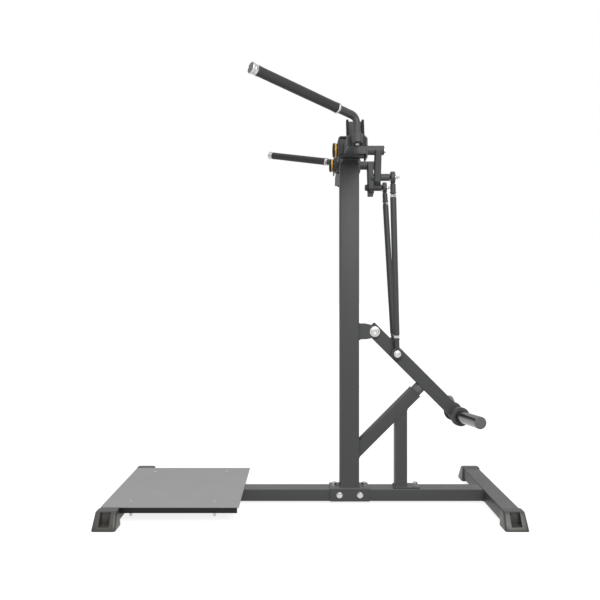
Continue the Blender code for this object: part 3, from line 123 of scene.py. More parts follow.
def place_at(origin: Array | tuple, along: Array, across: Array) -> Place:
    """A place whose w points along and whose u is as near across as can be.

    Args:
        origin: The place's point.
        along: The direction of w.
        across: A direction near that of u.

    Returns:
        The place, with v = w x u.
    """
    w = unit(np.asarray(along, float))
    u = unit(across - w * (across @ w))
    return Place(np.asarray(origin, float), u, np.cross(w, u), w)


def level(height: float) -> Place:
    """The horizontal place at a height."""
    return Place(Z * height, X, Y, Z)


def on_axis(x: float) -> Array:
    """A point on the axis of the right arm's pivot."""
    return np.array((x, 0.158, 1.454))


@dataclass
class Surface:
    """Points and faces of a piece."""

    vertices: Array
    faces: list

    def __add__(self, other: "Surface") -> "Surface":
        """Both surfaces as one.

        Args:
            other: The surface whose points come last.

        Returns:
            The joined surface.
        """
        shift = len(self.vertices)
        moved = [[index + shift for index in face] for face in other.faces]
        return Surface(np.concatenate([self.vertices, other.vertices]), self.faces + moved)

    def on(self, side: Side) -> "Surface":
        """The surface on that side: y becomes -y on the left."""
        return Surface(self.vertices * (1.0, side.value, 1.0), self.faces)


def loft(rows: Array | list, capped: bool) -> Surface:
    """A skin over loops of points: each point joins the next of its row and of the next row.

    Args:
        rows: The loops, all with as many points.
        capped: Whether the end loops are filled. If not, the last joins the first.

    Returns:
        The closed surface.
    """
    rows = np.asarray(rows)
    count, size = rows.shape[:2]
    row = np.arange(count - 1 if capped else count)[:, None]
    column = np.arange(size)[None, :]
    after, right = (row + 1) % count, (column + 1) % size
    square = (row * size + column, row * size + right, after * size + right, after * size + column)
    faces = np.stack(np.broadcast_arrays(*square), axis=-1).reshape(-1, 4).tolist()
    if capped:
        faces += [list(range(size)), list(range((count - 1) * size, count * size))]
    return Surface(rows.reshape(-1, 3), faces)


def rounded(points: Array, radius: float, steps: int = 4, closed: bool = True) -> Array:
    """A polygon with round corners.

    Each corner p between the trimmed points a and b becomes the curve
    (1-t)^2 a + 2t(1-t) p + t^2 b.

    Args:
        points: The corners, one per row.
        radius: How far from a corner its curve starts.
        steps: The number of pieces of each curve.
        closed: Whether the last corner joins the first.

    Returns:
        The points of the rounded polygon.
    """
    points = np.asarray(points, float)

    def trimmed(shift: int) -> Array:
        """The points where the curves start, towards one neighbour.

        Args:
            shift: 1 for the corner before, -1 for the next one.

        Returns:
            One point for each corner.
        """
        edge = np.roll(points, shift, axis=0) - points
        length = np.maximum(np.linalg.norm(edge, axis=1, keepdims=True), 1e-9)
        return points + edge * np.minimum(radius / length, 0.45)

    first, last = trimmed(1), trimmed(-1)
    if not closed:
        first[0] = last[0] = points[0]
        first[-1] = last[-1] = points[-1]
    t = np.linspace(0.0, 1.0, steps + 1)[None, :, None]
    curve = (1 - t) ** 2 * first[:, None] + 2 * t * (1 - t) * points[:, None] + t**2 * last[:, None]
    return curve.reshape(-1, 2)


def rectangle(width: float, height: float, radius: float = 0.004) -> Array:
    """A rectangle about the origin with round corners."""
    x, y = width / 2, height / 2
    return rounded(np.array([(x, y), (-x, y), (-x, -y), (x, -y)]), radius)


def corners(xs: tuple, ys: tuple) -> Array:
    """The corners of a rectangle between two values on each axis."""
    return np.array([(xs[0], ys[0]), (xs[1], ys[0]), (xs[1], ys[1]), (xs[0], ys[1])])


def ring_points(radius: float, start: float = 0.0, stop: float = 360.0, count: int = 64) -> Array:
    """Points on an arc: (r cos a, r sin a)."""
    angle = np.radians(np.linspace(start, stop, count, endpoint=stop - start != 360.0))
    return np.column_stack([np.cos(angle), np.sin(angle)]) * radius


def section(outer: float, high: float, inner: float = 0.0, low: float = 0.0) -> list:
    """The profile of a plain disc, pin or ring."""
    return [(inner, low), (outer, low), (outer, high), (inner, high)]


def revolve(profile: Array | list, place: Place, soften: float = 0.0, steps: int = 64) -> Surface:
    """A turned shape: origin + r (cos a u + sin a v) + h w for each (r, h) of the profile.

    Args:
        profile: Radius and height of each corner, as one closed loop.
        place: Its w is the axis.
        soften: How far the corners are rounded.
        steps: The number of points round the axis.

    Returns:
        The closed surface.
    """
    loop = np.asarray(profile, float)
    if soften:
        fixed = loop[:, 0] < 1e-9
        curve = rounded(loop, soften, 3).reshape(len(loop), -1, 2)
        curve[fixed] = loop[fixed][:, None]
        loop = curve.reshape(-1, 2)
    angle = np.linspace(0.0, 2 * HALF_TURN, steps, endpoint=False)
    radius, height = loop[:, :1], loop[:, 1:]
    local = np.stack([radius * np.cos(angle), radius * np.sin(angle), height + 0 * angle], axis=-1)
    return loft(place.points(local), False)


@dataclass(frozen=True)
class Plane:
    """A plane through a point, square to its normal."""

    point: Array
    normal: Array


def extrude(
    outline: Array, place: Place, length: float, start: Plane | None = None, stop: Plane | None = None,
    hollow: Array | None = None,
) -> Surface:
    """An outline drawn out along w. The height of an end's points may be solved on a plane.

    Args:
        outline: The outer loop.
        place: The loop's u and v, and the way it is drawn.
        length: How far it is drawn.
        start: The plane of the near end.
        stop: The plane of the far end.
        hollow: A loop of as many points inside the first, for an open tube.

    Returns:
        The closed surface.
    """

    def end(loop: Array, height: float, plane: Plane | None) -> Array:
        """The loop's points at a height or on a plane.

        Args:
            loop: The outline.
            height: Where it lies along w.
            plane: The plane that its points are moved to, if any.

        Returns:
            The points.
        """
        flat = np.column_stack([loop, np.full(len(loop), height)])
        if plane is not None:
            flat[:, 2] += ((plane.point - place.points(flat)) @ plane.normal) / (place.w @ plane.normal)
        return place.points(flat)

    rows = [end(outline, 0.0, start), end(outline, length, stop)]
    if hollow is not None:
        rows += [end(hollow, length, stop), end(hollow, 0.0, start)]
    return loft(rows, hollow is None)


def square_tube(width: float, height: float, place: Place, length: float) -> Surface:
    """A rectangular steel tube with open ends."""
    inner = rectangle(width - 2 * WALL, height - 2 * WALL, 0.004 - WALL / 2)
    return extrude(rectangle(width, height), place, length, hollow=inner)


def block(xs: tuple, ys: tuple, zs: tuple) -> Surface:
    """A plate between two values on each axis."""
    return extrude(corners(xs, ys), level(zs[0]), zs[1] - zs[0])


def sweep(path: Array, normal: Array, radius: Array | float, sides: int, closed: bool = False) -> Surface:
    """A round bar along a flat path: p + r (cos a s + sin a n), s = tangent x normal.

    Args:
        path: The points of the centre line.
        normal: The normal of the plane in which the path lies.
        radius: One radius, or one for each point.
        sides: The number of points round the bar.
        closed: Whether the path is a loop.

    Returns:
        The closed surface.
    """
    tangent = np.roll(path, -1, axis=0) - np.roll(path, 1, axis=0) if closed else np.gradient(path, axis=0)
    across = np.cross(tangent, normal)
    across /= np.linalg.norm(across, axis=1, keepdims=True)
    angle = np.linspace(0.0, 2 * HALF_TURN, sides, endpoint=False)[None, :, None]
    reach = np.broadcast_to(np.asarray(radius, float), (len(path),))[:, None, None]
    rim = np.cos(angle) * across[:, None] + np.sin(angle) * normal
    return loft(path[:, None] + reach * rim, not closed)


def bead(path: Array, normal: Array, radius: float = 0.0024, closed: bool = True) -> Surface:
    """A weld bead: a bar whose radius swells as r (1 + 0.14 cos(2 pi s / pitch)) along its length s.

    Args:
        path: The points of the weld.
        normal: The normal of the plane in which it lies.
        radius: The mean radius r.
        closed: Whether the weld is a loop.

    Returns:
        The closed surface.
    """
    pitch = 0.0034
    points = np.concatenate([path, path[:1]]) if closed else path
    run = np.concatenate([[0.0], np.cumsum(np.linalg.norm(np.diff(points, axis=0), axis=1))])
    waves = max(3, round(run[-1] / pitch))
    spots = np.linspace(0.0, run[-1], waves * 4, endpoint=not closed)
    fine = np.stack([np.interp(spots, run, points[:, axis]) for axis in range(3)], axis=1)
    swell = radius * (1.0 + 0.14 * np.cos(2 * HALF_TURN * waves * spots / run[-1]))
    return sweep(fine, normal, swell, 8, closed)


def seam(place: Place, outline: Array, radius: float = 0.0024, closed: bool = True) -> Surface:
    """A weld bead along a flat outline."""
    return bead(place.points(outline), place.w, radius, closed)


def hexagon_bolt(place: Place, flats: float, height: float, seated: bool = True) -> Surface:
    """A six sided head or nut whose corners are turned off at the top.

    The radius at angle a is flats / 2 / cos(a folded into -30..30 degrees), and the
    top edge drops by 0.5 of what that radius has over the flat top's.

    Args:
        place: The seat, with w pointing away from it.
        flats: The width across the flats.
        height: The height of the head.
        seated: Whether the lower edge stays sharp.

    Returns:
        The closed surface.
    """
    steps = 72
    angle = np.linspace(0.0, 2 * HALF_TURN, steps, endpoint=False)
    folded = (angle + HALF_TURN / 6) % (HALF_TURN / 3) - HALF_TURN / 6
    corner = flats / 2 / np.cos(folded)
    none, full, inner = np.zeros(steps), np.full(steps, height), np.full(steps, flats / 2 * 0.96)
    drop = (corner - inner) * 0.5
    radius = np.stack([none, inner, corner, corner, inner, none])
    rise = np.stack([none, none, none if seated else drop, full - drop, full, full])
    local = np.stack([radius * np.cos(angle), radius * np.sin(angle), rise], axis=-1)
    return loft(place.points(local), False)


@dataclass(frozen=True)
class Graph:
    """A shader tree, with short ways to fill it."""

    tree: bpy.types.NodeTree

    def fill(self, node: bpy.types.Node, values: dict) -> Outputs:
        """Gives a node's inputs their values or links.

        Args:
            node: The node.
            values: A number, a tuple or a socket for each input that gets one.

        Returns:
            The node's outputs.
        """
        for name, value in values.items():
            if isinstance(value, bpy.types.NodeSocket):
                self.tree.links.new(value, node.inputs[name])
            else:
                node.inputs[name].default_value = value
        return node.outputs

    def node(self, kind: str, values: dict) -> Outputs:
        """Adds a node of that kind and gives its outputs."""
        return self.fill(self.tree.nodes.new(f"ShaderNode{kind}"), values)

    def math(self, kind: str, *values: object) -> bpy.types.NodeSocket:
        """Adds a math node.

        Args:
            kind: Its operation.
            values: A number or a socket for each input.

        Returns:
            Its result.
        """
        node = self.tree.nodes.new("ShaderNodeMath")
        node.operation = kind
        return self.fill(node, dict(enumerate(values)))[0]

    def times(self, first: object, second: object) -> bpy.types.NodeSocket:
        """The product of two sockets or numbers."""
        return self.math("MULTIPLY", first, second)

    def plus(self, first: object, second: object) -> bpy.types.NodeSocket:
        """The sum of two sockets or numbers."""
        return self.math("ADD", first, second)

    def noise(self, vector: object, scale: object, detail: float) -> bpy.types.NodeSocket:
        """The value of a noise texture."""
        return self.node("TexNoise", {"Vector": vector, "Scale": scale, "Detail": detail})["Fac"]

    def shared(self, group: bpy.types.NodeTree, values: dict) -> Outputs:
        """Adds a shared group.

        Args:
            group: The group's tree.
            values: A value or a socket for each input that gets one.

        Returns:
            The node's outputs.
        """
        node = self.tree.nodes.new("ShaderNodeGroup")
        node.node_tree = group
        return self.fill(node, values)


class Groups:
    """The shader groups that several finishes share."""

    paint = {"Color": "Color", "Roughness": "Float"}
    film = {"Vector": "Vector", **paint, "Amount": "Float"}

    def __init__(self) -> None:
        """Builds the groups."""
        self.grain = self.grain_group()
        self.dust = self.dust_and_top_light_group()
        self.scuff = self.scuff_group()

    @staticmethod
    def empty(name: str, inputs: dict, outputs: dict) -> tuple:
        """A group with its sockets.

        Args:
            name: The group's name.
            inputs: Socket names and kinds.
            outputs: Socket names and kinds.

        Returns:
            Its graph, what it is given and the node that takes its results.
        """
        tree = bpy.data.node_groups.new(name, "ShaderNodeTree")
        for way, sockets in (("INPUT", inputs), ("OUTPUT", outputs)):
            for socket, kind in sockets.items():
                tree.interface.new_socket(socket, in_out=way, socket_type=f"NodeSocket{kind}")
        return Graph(tree), tree.nodes.new("NodeGroupInput").outputs, tree.nodes.new("NodeGroupOutput")

    def grain_group(self) -> bpy.types.NodeTree:
        """Fine grain for the relief, with a slow mottle of colour and roughness."""
        graph, given, made = self.empty(
            "grain",
            {"Vector": "Vector", "Place": "Vector", **self.paint, "Scale": "Float", "Mottle": "Float"},
            {**self.paint, "Height": "Float"},
        )
        fine = graph.noise(given["Vector"], given["Scale"], 4.0)
        slow = graph.noise(given["Place"], 9.0, 5.0)
        both = graph.plus(graph.times(fine, 0.6), graph.times(slow, 0.4))
        swing = graph.times(graph.math("SUBTRACT", both, 0.5), given["Mottle"])
        scale = graph.tree.nodes.new("ShaderNodeVectorMath")
        scale.operation = "SCALE"
        color = graph.fill(scale, {0: given["Color"], "Scale": graph.plus(1.0, graph.times(swing, 2.0))})[0]
        rough = graph.plus(given["Roughness"], swing)
        graph.fill(made, {"Color": color, "Roughness": rough, "Height": fine})
        return graph.tree

    def dust_and_top_light_group(self) -> bpy.types.NodeTree:
        """A pale film on faces that look up, broken by slow noise: partly dust, partly painted light that
        makes top faces lighter than side faces.
        """
        graph, given, made = self.empty("settled_dust", self.film, self.paint)
        up = graph.node("SeparateXYZ", {0: graph.node("NewGeometry", {})["Normal"]})["Z"]
        up = graph.math("POWER", graph.math("MAXIMUM", up, 0.0), 3.0)
        patch = graph.plus(0.6, graph.times(graph.noise(given["Vector"], 14.0, 6.0), 0.8))
        return self.cover(graph, given, made, graph.times(up, patch), (0.46, 0.46, 0.46, 1.0), 0.2)

    def scuff_group(self) -> bpy.types.NodeTree:
        """Small bright rub marks where a noise passes a threshold."""
        graph, given, made = self.empty("scuffs", self.film, self.paint)
        marks = graph.noise(given["Vector"], 55.0, 8.0)
        above = graph.times(graph.math("SUBTRACT", marks, 0.66), 9.0)
        mask = graph.math("MINIMUM", graph.math("MAXIMUM", above, 0.0), 1.0)
        return self.cover(graph, given, made, mask, (0.40, 0.40, 0.39, 1.0), -0.1)

    @staticmethod
    def cover(
        graph: Graph, given: Outputs, made: bpy.types.Node,
        mask: bpy.types.NodeSocket, pale: tuple, rise: float,
    ) -> bpy.types.NodeTree:
        """Lays a pale colour over the given one where a mask is set.

        Args:
            graph: The group's graph.
            given: What the group is given.
            made: The node that takes its results.
            mask: Where the colour lies.
            pale: The colour.
            rise: What it adds to the roughness.

        Returns:
            The group's tree.
        """
        amount = graph.times(mask, given["Amount"])
        mix = graph.tree.nodes.new("ShaderNodeMix")
        mix.data_type = "RGBA"
        color = graph.fill(mix, {0: amount, 6: given["Color"], 7: pale})[2]
        rough = graph.plus(given["Roughness"], graph.times(amount, rise))
        graph.fill(made, {"Color": color, "Roughness": rough})
        return graph.tree


@dataclass(frozen=True)
class Finish:
    """A surface finish: its record slot and what its material needs."""

    slot: str
    color: tuple
    roughness: float
    grain: float
    depth: float
    mottle: float
    # dust: a pale film on faces that look up, partly dust and partly painted light on top faces.
    dust: float = 0.0
    metallic: float = 0.0
    streak: tuple = (1.0, 1.0, 1.0)
    coat: float = 0.0
    scuff: float = 0.0
    shine: float = 0.5

    def material(self, groups: Groups) -> bpy.types.Material:
        """The procedural material of this finish.

        Args:
            groups: The shared shader groups.

        Returns:
            The material.
        """
        made = bpy.data.materials.new(self.slot)
        made.use_nodes = True
        graph = Graph(made.node_tree)
        spot = graph.node("TexCoord", {})["Object"]
        grain = graph.shared(groups.grain, {
            "Vector": graph.node("Mapping", {"Vector": spot, "Scale": self.streak})["Vector"], "Place": spot,
            "Color": (*self.color, 1.0), "Roughness": self.roughness, "Scale": self.grain,
            "Mottle": self.mottle})
        skin = grain
        # The first layer lightens faces that look up: partly dust, partly painted top light.
        for group, amount in ((groups.dust, self.dust), (groups.scuff, self.scuff)):
            skin = graph.shared(group, {
                "Vector": spot, "Color": skin["Color"], "Roughness": skin["Roughness"], "Amount": amount})
        bump = graph.node("Bump", {"Distance": self.depth, "Height": grain["Height"]})
        graph.fill(made.node_tree.nodes["Principled BSDF"], {
            "Base Color": skin["Color"], "Roughness": skin["Roughness"], "Normal": bump["Normal"],
            "Metallic": self.metallic, "Coat Weight": self.coat, "Coat Roughness": 0.12,
            "Specular IOR Level": self.shine})
        return made


class Coat(Enum):
    """The finishes of the machine."""

    # The eighth value is the pale film on faces that look up: partly dust, partly painted top light that
    # keeps top faces lighter.
    FRAME = Finish("frame_paint", (0.057, 0.058, 0.059), 0.44, 700.0, 5e-5, 0.07, 0.20, scuff=0.05, shine=0.3)
    DECK = Finish("deck_paint", (0.275, 0.275, 0.276), 0.46, 420.0, 25e-5, 0.20, 0.42, scuff=0.12)
    FOOT = Finish("foot_plastic", (0.053, 0.051, 0.045), 0.36, 1100.0, 5e-5, 0.08, 0.04, scuff=0.05)
    CAP = Finish("black_plastic", (0.014, 0.014, 0.014), 0.38, 1100.0, 5e-5, 0.08, 0.02, shine=0.2)
    RING = Finish("ring_plastic", (0.95, 0.50, 0.02), 0.30, 300.0, 1e-5, 0.04, coat=0.4)
    BUMPER = Finish("bumper_rubber", (0.11, 0.11, 0.11), 0.75, 900.0, 12e-5, 0.12, 0.10)
    GRIP = Finish("grip_rubber", (0.027, 0.027, 0.028), 0.52, 1400.0, 8e-5, 0.10, 0.02, shine=0.35)
    CHROME = Finish("chrome", (0.56, 0.55, 0.54), 0.20, 200.0, 2e-6, 0.02, metallic=1.0)
    ZINC = Finish("zinc_steel", (0.57, 0.56, 0.55), 0.30, 800.0, 3e-5, 0.06, metallic=1.0)
    SATIN = Finish("satin_steel", (0.165, 0.165, 0.162), 0.18, 60.0, 1e-5, 0.05, metallic=1.0,
                   streak=(12.0, 1.0, 12.0))
    BEARING = Finish("bearing_metal", (0.05, 0.049, 0.047), 0.40, 800.0, 3e-5, 0.12, metallic=0.6)


@dataclass
class Workshop:
    """Turns surfaces into named pieces that ride on bodies."""

    frame: dict
    materials: dict = field(default_factory=dict)
    count: int = 0

    def __post_init__(self) -> None:
        """Makes each finish's material."""
        groups = Groups()
        self.materials = {coat: coat.value.material(groups) for coat in Coat}

    def piece(
        self, name: str, surface: Surface, body: str = "frame", coat: Coat = Coat.FRAME, node: str = "",
        bevel: float = 0.0, hollow: Surface | None = None,
    ) -> None:
        """Makes one piece.

        Args:
            name: The piece's name.
            surface: Its shape.
            body: The body it rides on.
            coat: Its finish.
            node: The CAD node it stands for, if any.
            bevel: The width of its rounded edges, 0 for none.
            hollow: A closed surface that is cut out of it.
        """
        mesh = self.closed(name, surface)
        if hollow is not None:
            mesh = self.cut(mesh, self.closed("hollow", hollow))
        mesh.materials.clear()
        mesh.materials.append(self.materials[coat])
        mesh.shade_smooth()
        mesh.set_sharp_from_angle(angle=SHARP)
        item = bpy.data.objects.new(name, mesh)
        bpy.context.scene.collection.objects.link(item)
        if bevel:
            self.soften(item, bevel)
        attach(item, body)
        if node:
            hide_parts(node)
        self.count += 1
        LOG.info("%s rides on %s with %d points", name, body, len(mesh.vertices))

    def pair(
        self, name: str, surface: Surface, body: str = "frame", coat: Coat = Coat.FRAME, node: str = "",
        bevel: float = 0.0, hollow: Surface | None = None,
    ) -> None:
        """Makes a piece of the right side and its mirror image, from what piece takes."""
        for side in Side:
            self.piece(side.named(name), surface.on(side), side.body(body), coat, side.named(node), bevel,
                       hollow and hollow.on(side))

    def bolt(self, name: str, seat: Place) -> None:
        """Makes a bolt head on its washer, a taller one where it stands upright.

        Args:
            name: The head's name.
            seat: Where the washer lies, with w pointing away from it.
        """
        height = UPRIGHT_BOLT_HEAD if seat.w @ Z > 0.5 else BOLT_HEAD
        self.piece(f"{name}_washer", revolve(section(0.0125, 0.0014), seat, 0.0005), coat=Coat.ZINC)
        self.piece(name, hexagon_bolt(seat.ahead(0.0013), BOLT_FLATS, height), coat=Coat.ZINC)

    @staticmethod
    def closed(name: str, surface: Surface) -> bpy.types.Mesh:
        """The mesh of a surface, its doubles merged and its faces pointing outwards.

        Args:
            name: The mesh's name.
            surface: Its points and faces.

        Returns:
            The mesh.
        """
        mesh = bpy.data.meshes.new(name)
        mesh.from_pydata(surface.vertices.tolist(), [], surface.faces)
        work = bmesh.new()
        work.from_mesh(mesh)
        bmesh.ops.remove_doubles(work, verts=work.verts, dist=1e-6)
        bmesh.ops.dissolve_degenerate(work, edges=work.edges, dist=1e-7)
        bmesh.ops.recalc_face_normals(work, faces=work.faces)
        work.to_mesh(mesh)
        work.free()
        return mesh

    @staticmethod
    def cut(mesh: bpy.types.Mesh, hollow: bpy.types.Mesh) -> bpy.types.Mesh:
        """Cuts one mesh out of another.

        Args:
            mesh: The mesh that is cut.
            hollow: The mesh of what is taken away.

        Returns:
            What is left, as a new mesh.
        """
        items = [bpy.data.objects.new(shape.name, shape) for shape in (mesh, hollow)]
        for item in items:
            bpy.context.scene.collection.objects.link(item)
        bite = items[0].modifiers.new("bite", "BOOLEAN")
        bite.operation, bite.solver, bite.object = "DIFFERENCE", "EXACT", items[1]
        graph = bpy.context.evaluated_depsgraph_get()
        made = bpy.data.meshes.new_from_object(items[0].evaluated_get(graph))
        for item in items:
            bpy.data.objects.remove(item)
        return made

    @staticmethod
    def soften(item: bpy.types.Object, width: float) -> None:
        """Rounds the sharp edges with a small bevel.

        Args:
            item: The object.
            width: The width of the bevel.
        """
        edges = item.modifiers.new("edges", "BEVEL")
        edges.width, edges.segments = width, 2
        edges.limit_method, edges.angle_limit = "ANGLE", SHARP
        edges.harden_normals = True

    def dress(self, node: str, coat: Coat) -> None:
        """Gives a CAD node its finish and slightly rounded edges.

        Args:
            node: The node's name.
            coat: Its finish.
        """
        item = self.frame["nodes"][node]
        item.data.materials.clear()
        item.data.materials.append(self.materials[coat])
        item.modifiers.new("joined", "WELD").merge_threshold = 1e-5
        self.soften(item, 0.0007)
        LOG.info("%s keeps its own shape", node)


@dataclass
class Base:
    """The floor frame: beam, cross tubes, feet, saddle and the bolts."""

    shop: Workshop
    beam_half: float = 0.7297
    cross_x: float = 0.765
    cross_half: float = 0.318
    saddle: tuple = (0.088, 0.252)
    saddle_half: float = 0.0463

    def build(self) -> None:
        """Makes the pieces of the base."""
        start = place_at((-self.beam_half, 0, BEAM_MIDDLE), X, Y)
        beam = square_tube(0.080, 0.050, start, 2 * self.beam_half)
        self.shop.piece("main_beam_tube", beam, node="main_beam", bevel=0.0006)
        for label, x in (("front", -self.cross_x), ("rear", self.cross_x)):
            place = place_at((x, -self.cross_half, BEAM_MIDDLE), Y, X)
            tube = square_tube(0.070, 0.050, place, 2 * self.cross_half)
            self.shop.piece(f"{label}_cross_tube_skin", tube, node=f"{label}_cross_tube", bevel=0.0006)
            self.shop.pair(f"{label}_cap_shell", self.foot(x), "frame", Coat.FOOT, f"{label}_foot_cap",
                           bevel=0.0008, hollow=self.foot_rooms(x))
        ends = [place_at((way * (self.beam_half + 0.0002), 0, BEAM_MIDDLE), X, Y) for way in (-1, 1)]
        front, rear = (seam(place, rectangle(0.080, 0.050), 0.0022) for place in ends)
        self.shop.piece("beam_seams", front + rear)
        self.build_saddle()

    @staticmethod
    def foot(x: float) -> Surface:
        """The outside of a foot cap: level outlines that shrink upwards, with round edges.

        Args:
            x: The middle of the cap.

        Returns:
            The closed surface.
        """
        high, edge = 0.064, 0.005
        angle = np.linspace(0.0, HALF_TURN / 2, 6)
        levels = np.concatenate([[0.0, 0.001, 0.004, 0.030, 0.054], high - edge + edge * np.sin(angle)])
        inset = np.concatenate([[0.001, 0.0, 0.0, 0.0, 0.0], edge * (1.0 - np.cos(angle))])
        outer = np.interp(levels, [0.004, 0.056, high], [0.375, 0.342, 0.334]) - inset
        half = 0.045 - 0.0055 * levels / high - inset
        rings = [rounded(np.array([(-h, a), (-h, b), (h, b), (h, a)]), 0.010, 5) + (x, 0.0)
                 for h, a, b in zip(half, 0.291 + inset, outer)]
        return loft([level(z).points(ring) for ring, z in zip(rings, levels)], True)

    @staticmethod
    def foot_rooms(x: float) -> Surface:
        """The window in the outer face of a foot cap and the room for the tube.

        Args:
            x: The middle of the cap.

        Returns:
            Both rooms as one surface.
        """
        plan = rounded(corners((x - 0.0195, x + 0.0195), (0.325, 0.400)), 0.012)
        room = block((x - 0.0353, x + 0.0353), (0.280, 0.3183), (0.0097, 0.0603))
        return extrude(plan, level(0.0145), 0.0462) + room

    def build_saddle(self) -> None:
        """Makes the folded saddle with its washers and bolts."""
        half, low, inner, under = self.saddle_half, 0.0103, 0.0403, 0.0603
        top, (front, back) = PLATE_TOP, self.saddle
        outer = rounded([(-half, low), (-half, top), (half, top), (half, low)], 0.006, 5, False)
        inside = rounded([(inner, low), (inner, under), (-inner, under), (-inner, low)], 0.002, 3, False)
        plate = extrude(np.concatenate([outer, inside]), Place(X * front, Y, Z, X), back - front)
        self.shop.piece("saddle_plate", plate, node="upright_saddle", bevel=0.0007)
        seats = [place_at((x, 0.0, top), Z, X) for x in (front + 0.0195, back - 0.0195)]
        for x in (0.127, 0.213):
            seats += [place_at((x, way * half, 0.037), Y * way, X) for way in (-1.0, 1.0)]
        for number, seat in enumerate(seats):
            self.shop.bolt(f"saddle_bolt_{number}", seat)


@dataclass
class Deck:
    """The standing deck, its supports and bolts."""

    shop: Workshop
    front: float = -0.800
    back: float = -0.272
    half: float = 0.287
    top: float = 0.065
    sheet: float = 0.0047
    lip: float = 0.041
    bolts: tuple = (-0.701, -0.3735)
    bolt_y: float = 0.216

    def build(self) -> None:
        """Makes the deck."""
        under = self.top - self.sheet
        outline = rounded(corners((self.front, self.back), (-self.half, self.half)), 0.004)
        sheet = extrude(outline, level(under), self.sheet)
        self.shop.piece("deck_sheet", sheet, "frame", Coat.DECK, "deck_plate", 0.0016)
        lip = block((-0.728, self.back - 0.006), (self.half - WALL, self.half), (self.lip, under + 0.002))
        self.shop.piece("deck_lips", lip.on(Side.LEFT) + lip, "frame", Coat.CAP, bevel=0.0008)
        for row, x in enumerate(self.bolts):
            self.build_support(x, row)

    def build_support(self, x: float, row: int) -> None:
        """Makes the two support tubes of a row with their bolts.

        Args:
            x: Where the row is.
            row: Its number.
        """
        tube = square_tube(0.040, 0.030, place_at((x, 0.0385, 0.045), Y, X), 0.2115)
        self.shop.pair(f"deck_support_{row}", tube, bevel=0.0005)
        foot = place_at((x, self.bolt_y, 0.0), Z, X)
        head = [(0.0, 0.0), (0.0066, 0.0), (0.0064, 0.0014), (0.0045, 0.0029), (0.0022, 0.0031),
                (0.0020, 0.0014), (0.0, 0.0014)]
        stud = [(0.0, 0.0075), (0.0042, 0.0075), (0.006, 0.0095), (0.006, 0.0225), (0.004, 0.0225),
                (0.004, 0.064), (0.0, 0.064)]
        nut = place_at(foot.ahead(0.0297).origin, -Z, X)
        for name, surface in (("bolt", revolve(head, foot.ahead(self.top), 0.0004, 48)),
                              ("stud", revolve(stud, foot, 0.0006, 32)),
                              ("nut", hexagon_bolt(nut, 0.013, 0.008, False))):
            self.shop.pair(f"deck_{name}_{row}", surface, "frame", Coat.ZINC)


@dataclass
class Column:
    """The column with the tube across its top, the rear post, the brace and the bumper."""

    shop: Workshop
    x: float = 0.170
    size: float = 0.080
    top: float = 1.4287
    head: float = 0.070
    head_half: float = 0.1117
    post_x: float = 0.388
    post_bolt_x: float = 0.451
    rise: float = 0.0142
    brace_end: float = 0.9105

    def build(self) -> None:
        """Makes the pieces of the column."""
        middle, add = self.top + self.head / 2, self.shop.piece
        foot = place_at((self.x, 0, PLATE_TOP), Z, X)
        tube = extrude(rectangle(self.size, self.size), foot, self.top - PLATE_TOP)
        add("column_tube", tube, node="upright_column", bevel=0.0006)
        place = place_at((self.x, -self.head_half, middle), Y, X)
        add("head_tube", square_tube(self.head, self.head, place, 2 * self.head_half), bevel=0.0006)
        for name, z, width in (("head", self.top, self.head), ("column_foot", 0.0668, self.size)):
            outline = rectangle(width, self.size, SEAM_CORNER)
            add(f"{name}_seam", seam(place_at((self.x, 0, z), Z, X), outline))
        outline = rectangle(self.head, self.head, SEAM_CORNER)
        self.shop.pair("housing_seam", seam(place_at((self.x, 0.1114, middle), Y, X), outline))
        self.build_post()
        self.build_brace()

    def build_post(self) -> None:
        """Makes the rear post on its plate."""
        add = self.shop.piece
        cut = Plane(np.array((self.post_x, 0.0, self.post_x + self.rise - 0.0253 / SLOPE)), X - Z)
        post = extrude(rectangle(0.050, 0.060), place_at((self.post_x, 0, 0.064), Z, X), 0.3, stop=cut)
        add("post_tube", post, node="rear_post", bevel=0.0006)
        outline = rounded(corners((0.357, 0.466), (-0.034, 0.034)), 0.008)
        add("post_plate", extrude(outline, level(0.0603), 0.006), bevel=0.0008)
        foot = place_at((self.post_x, 0, 0.0666), Z, X)
        add("post_foot_seam", seam(foot, rectangle(0.050, 0.060, SEAM_CORNER)))
        self.shop.bolt("post_bolt", place_at((self.post_bolt_x, 0.0, PLATE_TOP), Z, X))
        add("post_head_seam", seam(place_at(cut.point, X - Z, Y), rectangle(0.060, 0.050 / SLOPE)))

    def build_brace(self) -> None:
        """Makes the slanted tube, its end plate and the bumper."""
        add = self.shop.piece
        root = np.array((COLUMN_FACE, 0.0, COLUMN_FACE + self.rise))
        length = (self.brace_end - 2 * COLUMN_FACE - self.rise) * SLOPE
        place = place_at(root, X + Z, Y)
        tube = extrude(rectangle(0.060, 0.050), place, length - 0.001, Plane(root, X))
        add("brace_tube", tube, node="brace", bevel=0.0004)
        lid = extrude(rectangle(0.062, 0.053, 0.003), place.ahead(length - 0.0013), 0.0043)
        add("brace_lid", lid, bevel=0.0006)
        outline = rectangle(0.060, 0.050 / SLOPE, SEAM_CORNER)
        add("brace_seam", seam(place_at(root + X * 0.0006, X, Y), outline))
        height = (0.996 - self.brace_end) * SLOPE - 0.0275 - 0.0036
        profile = [(0.0, height - 0.004), (0.009, height - 0.004), (0.010, height), (0.0235, height),
                   (0.0243, height - 0.004), (0.0245, 0.002), (0.0235, 0.0), (0.0, 0.0)]
        bumper = revolve(profile, place.ahead(length + 0.0033), 0.0012, 72)
        add("bumper_block", bumper, "frame", Coat.BUMPER, "lever_bumper")


@dataclass
class Paired:
    """A sub-assembly made for both sides, most of which rides on one body of each."""

    shop: Workshop
    body = "arm"

    def add(
        self, name: str, surface: Surface, coat: Coat = Coat.FRAME, node: str = "", bevel: float = 0.0,
    ) -> None:
        """Makes a piece of the right side and its mirror image, which ride on the body."""
        self.shop.pair(name, surface, self.body, coat, node, bevel)


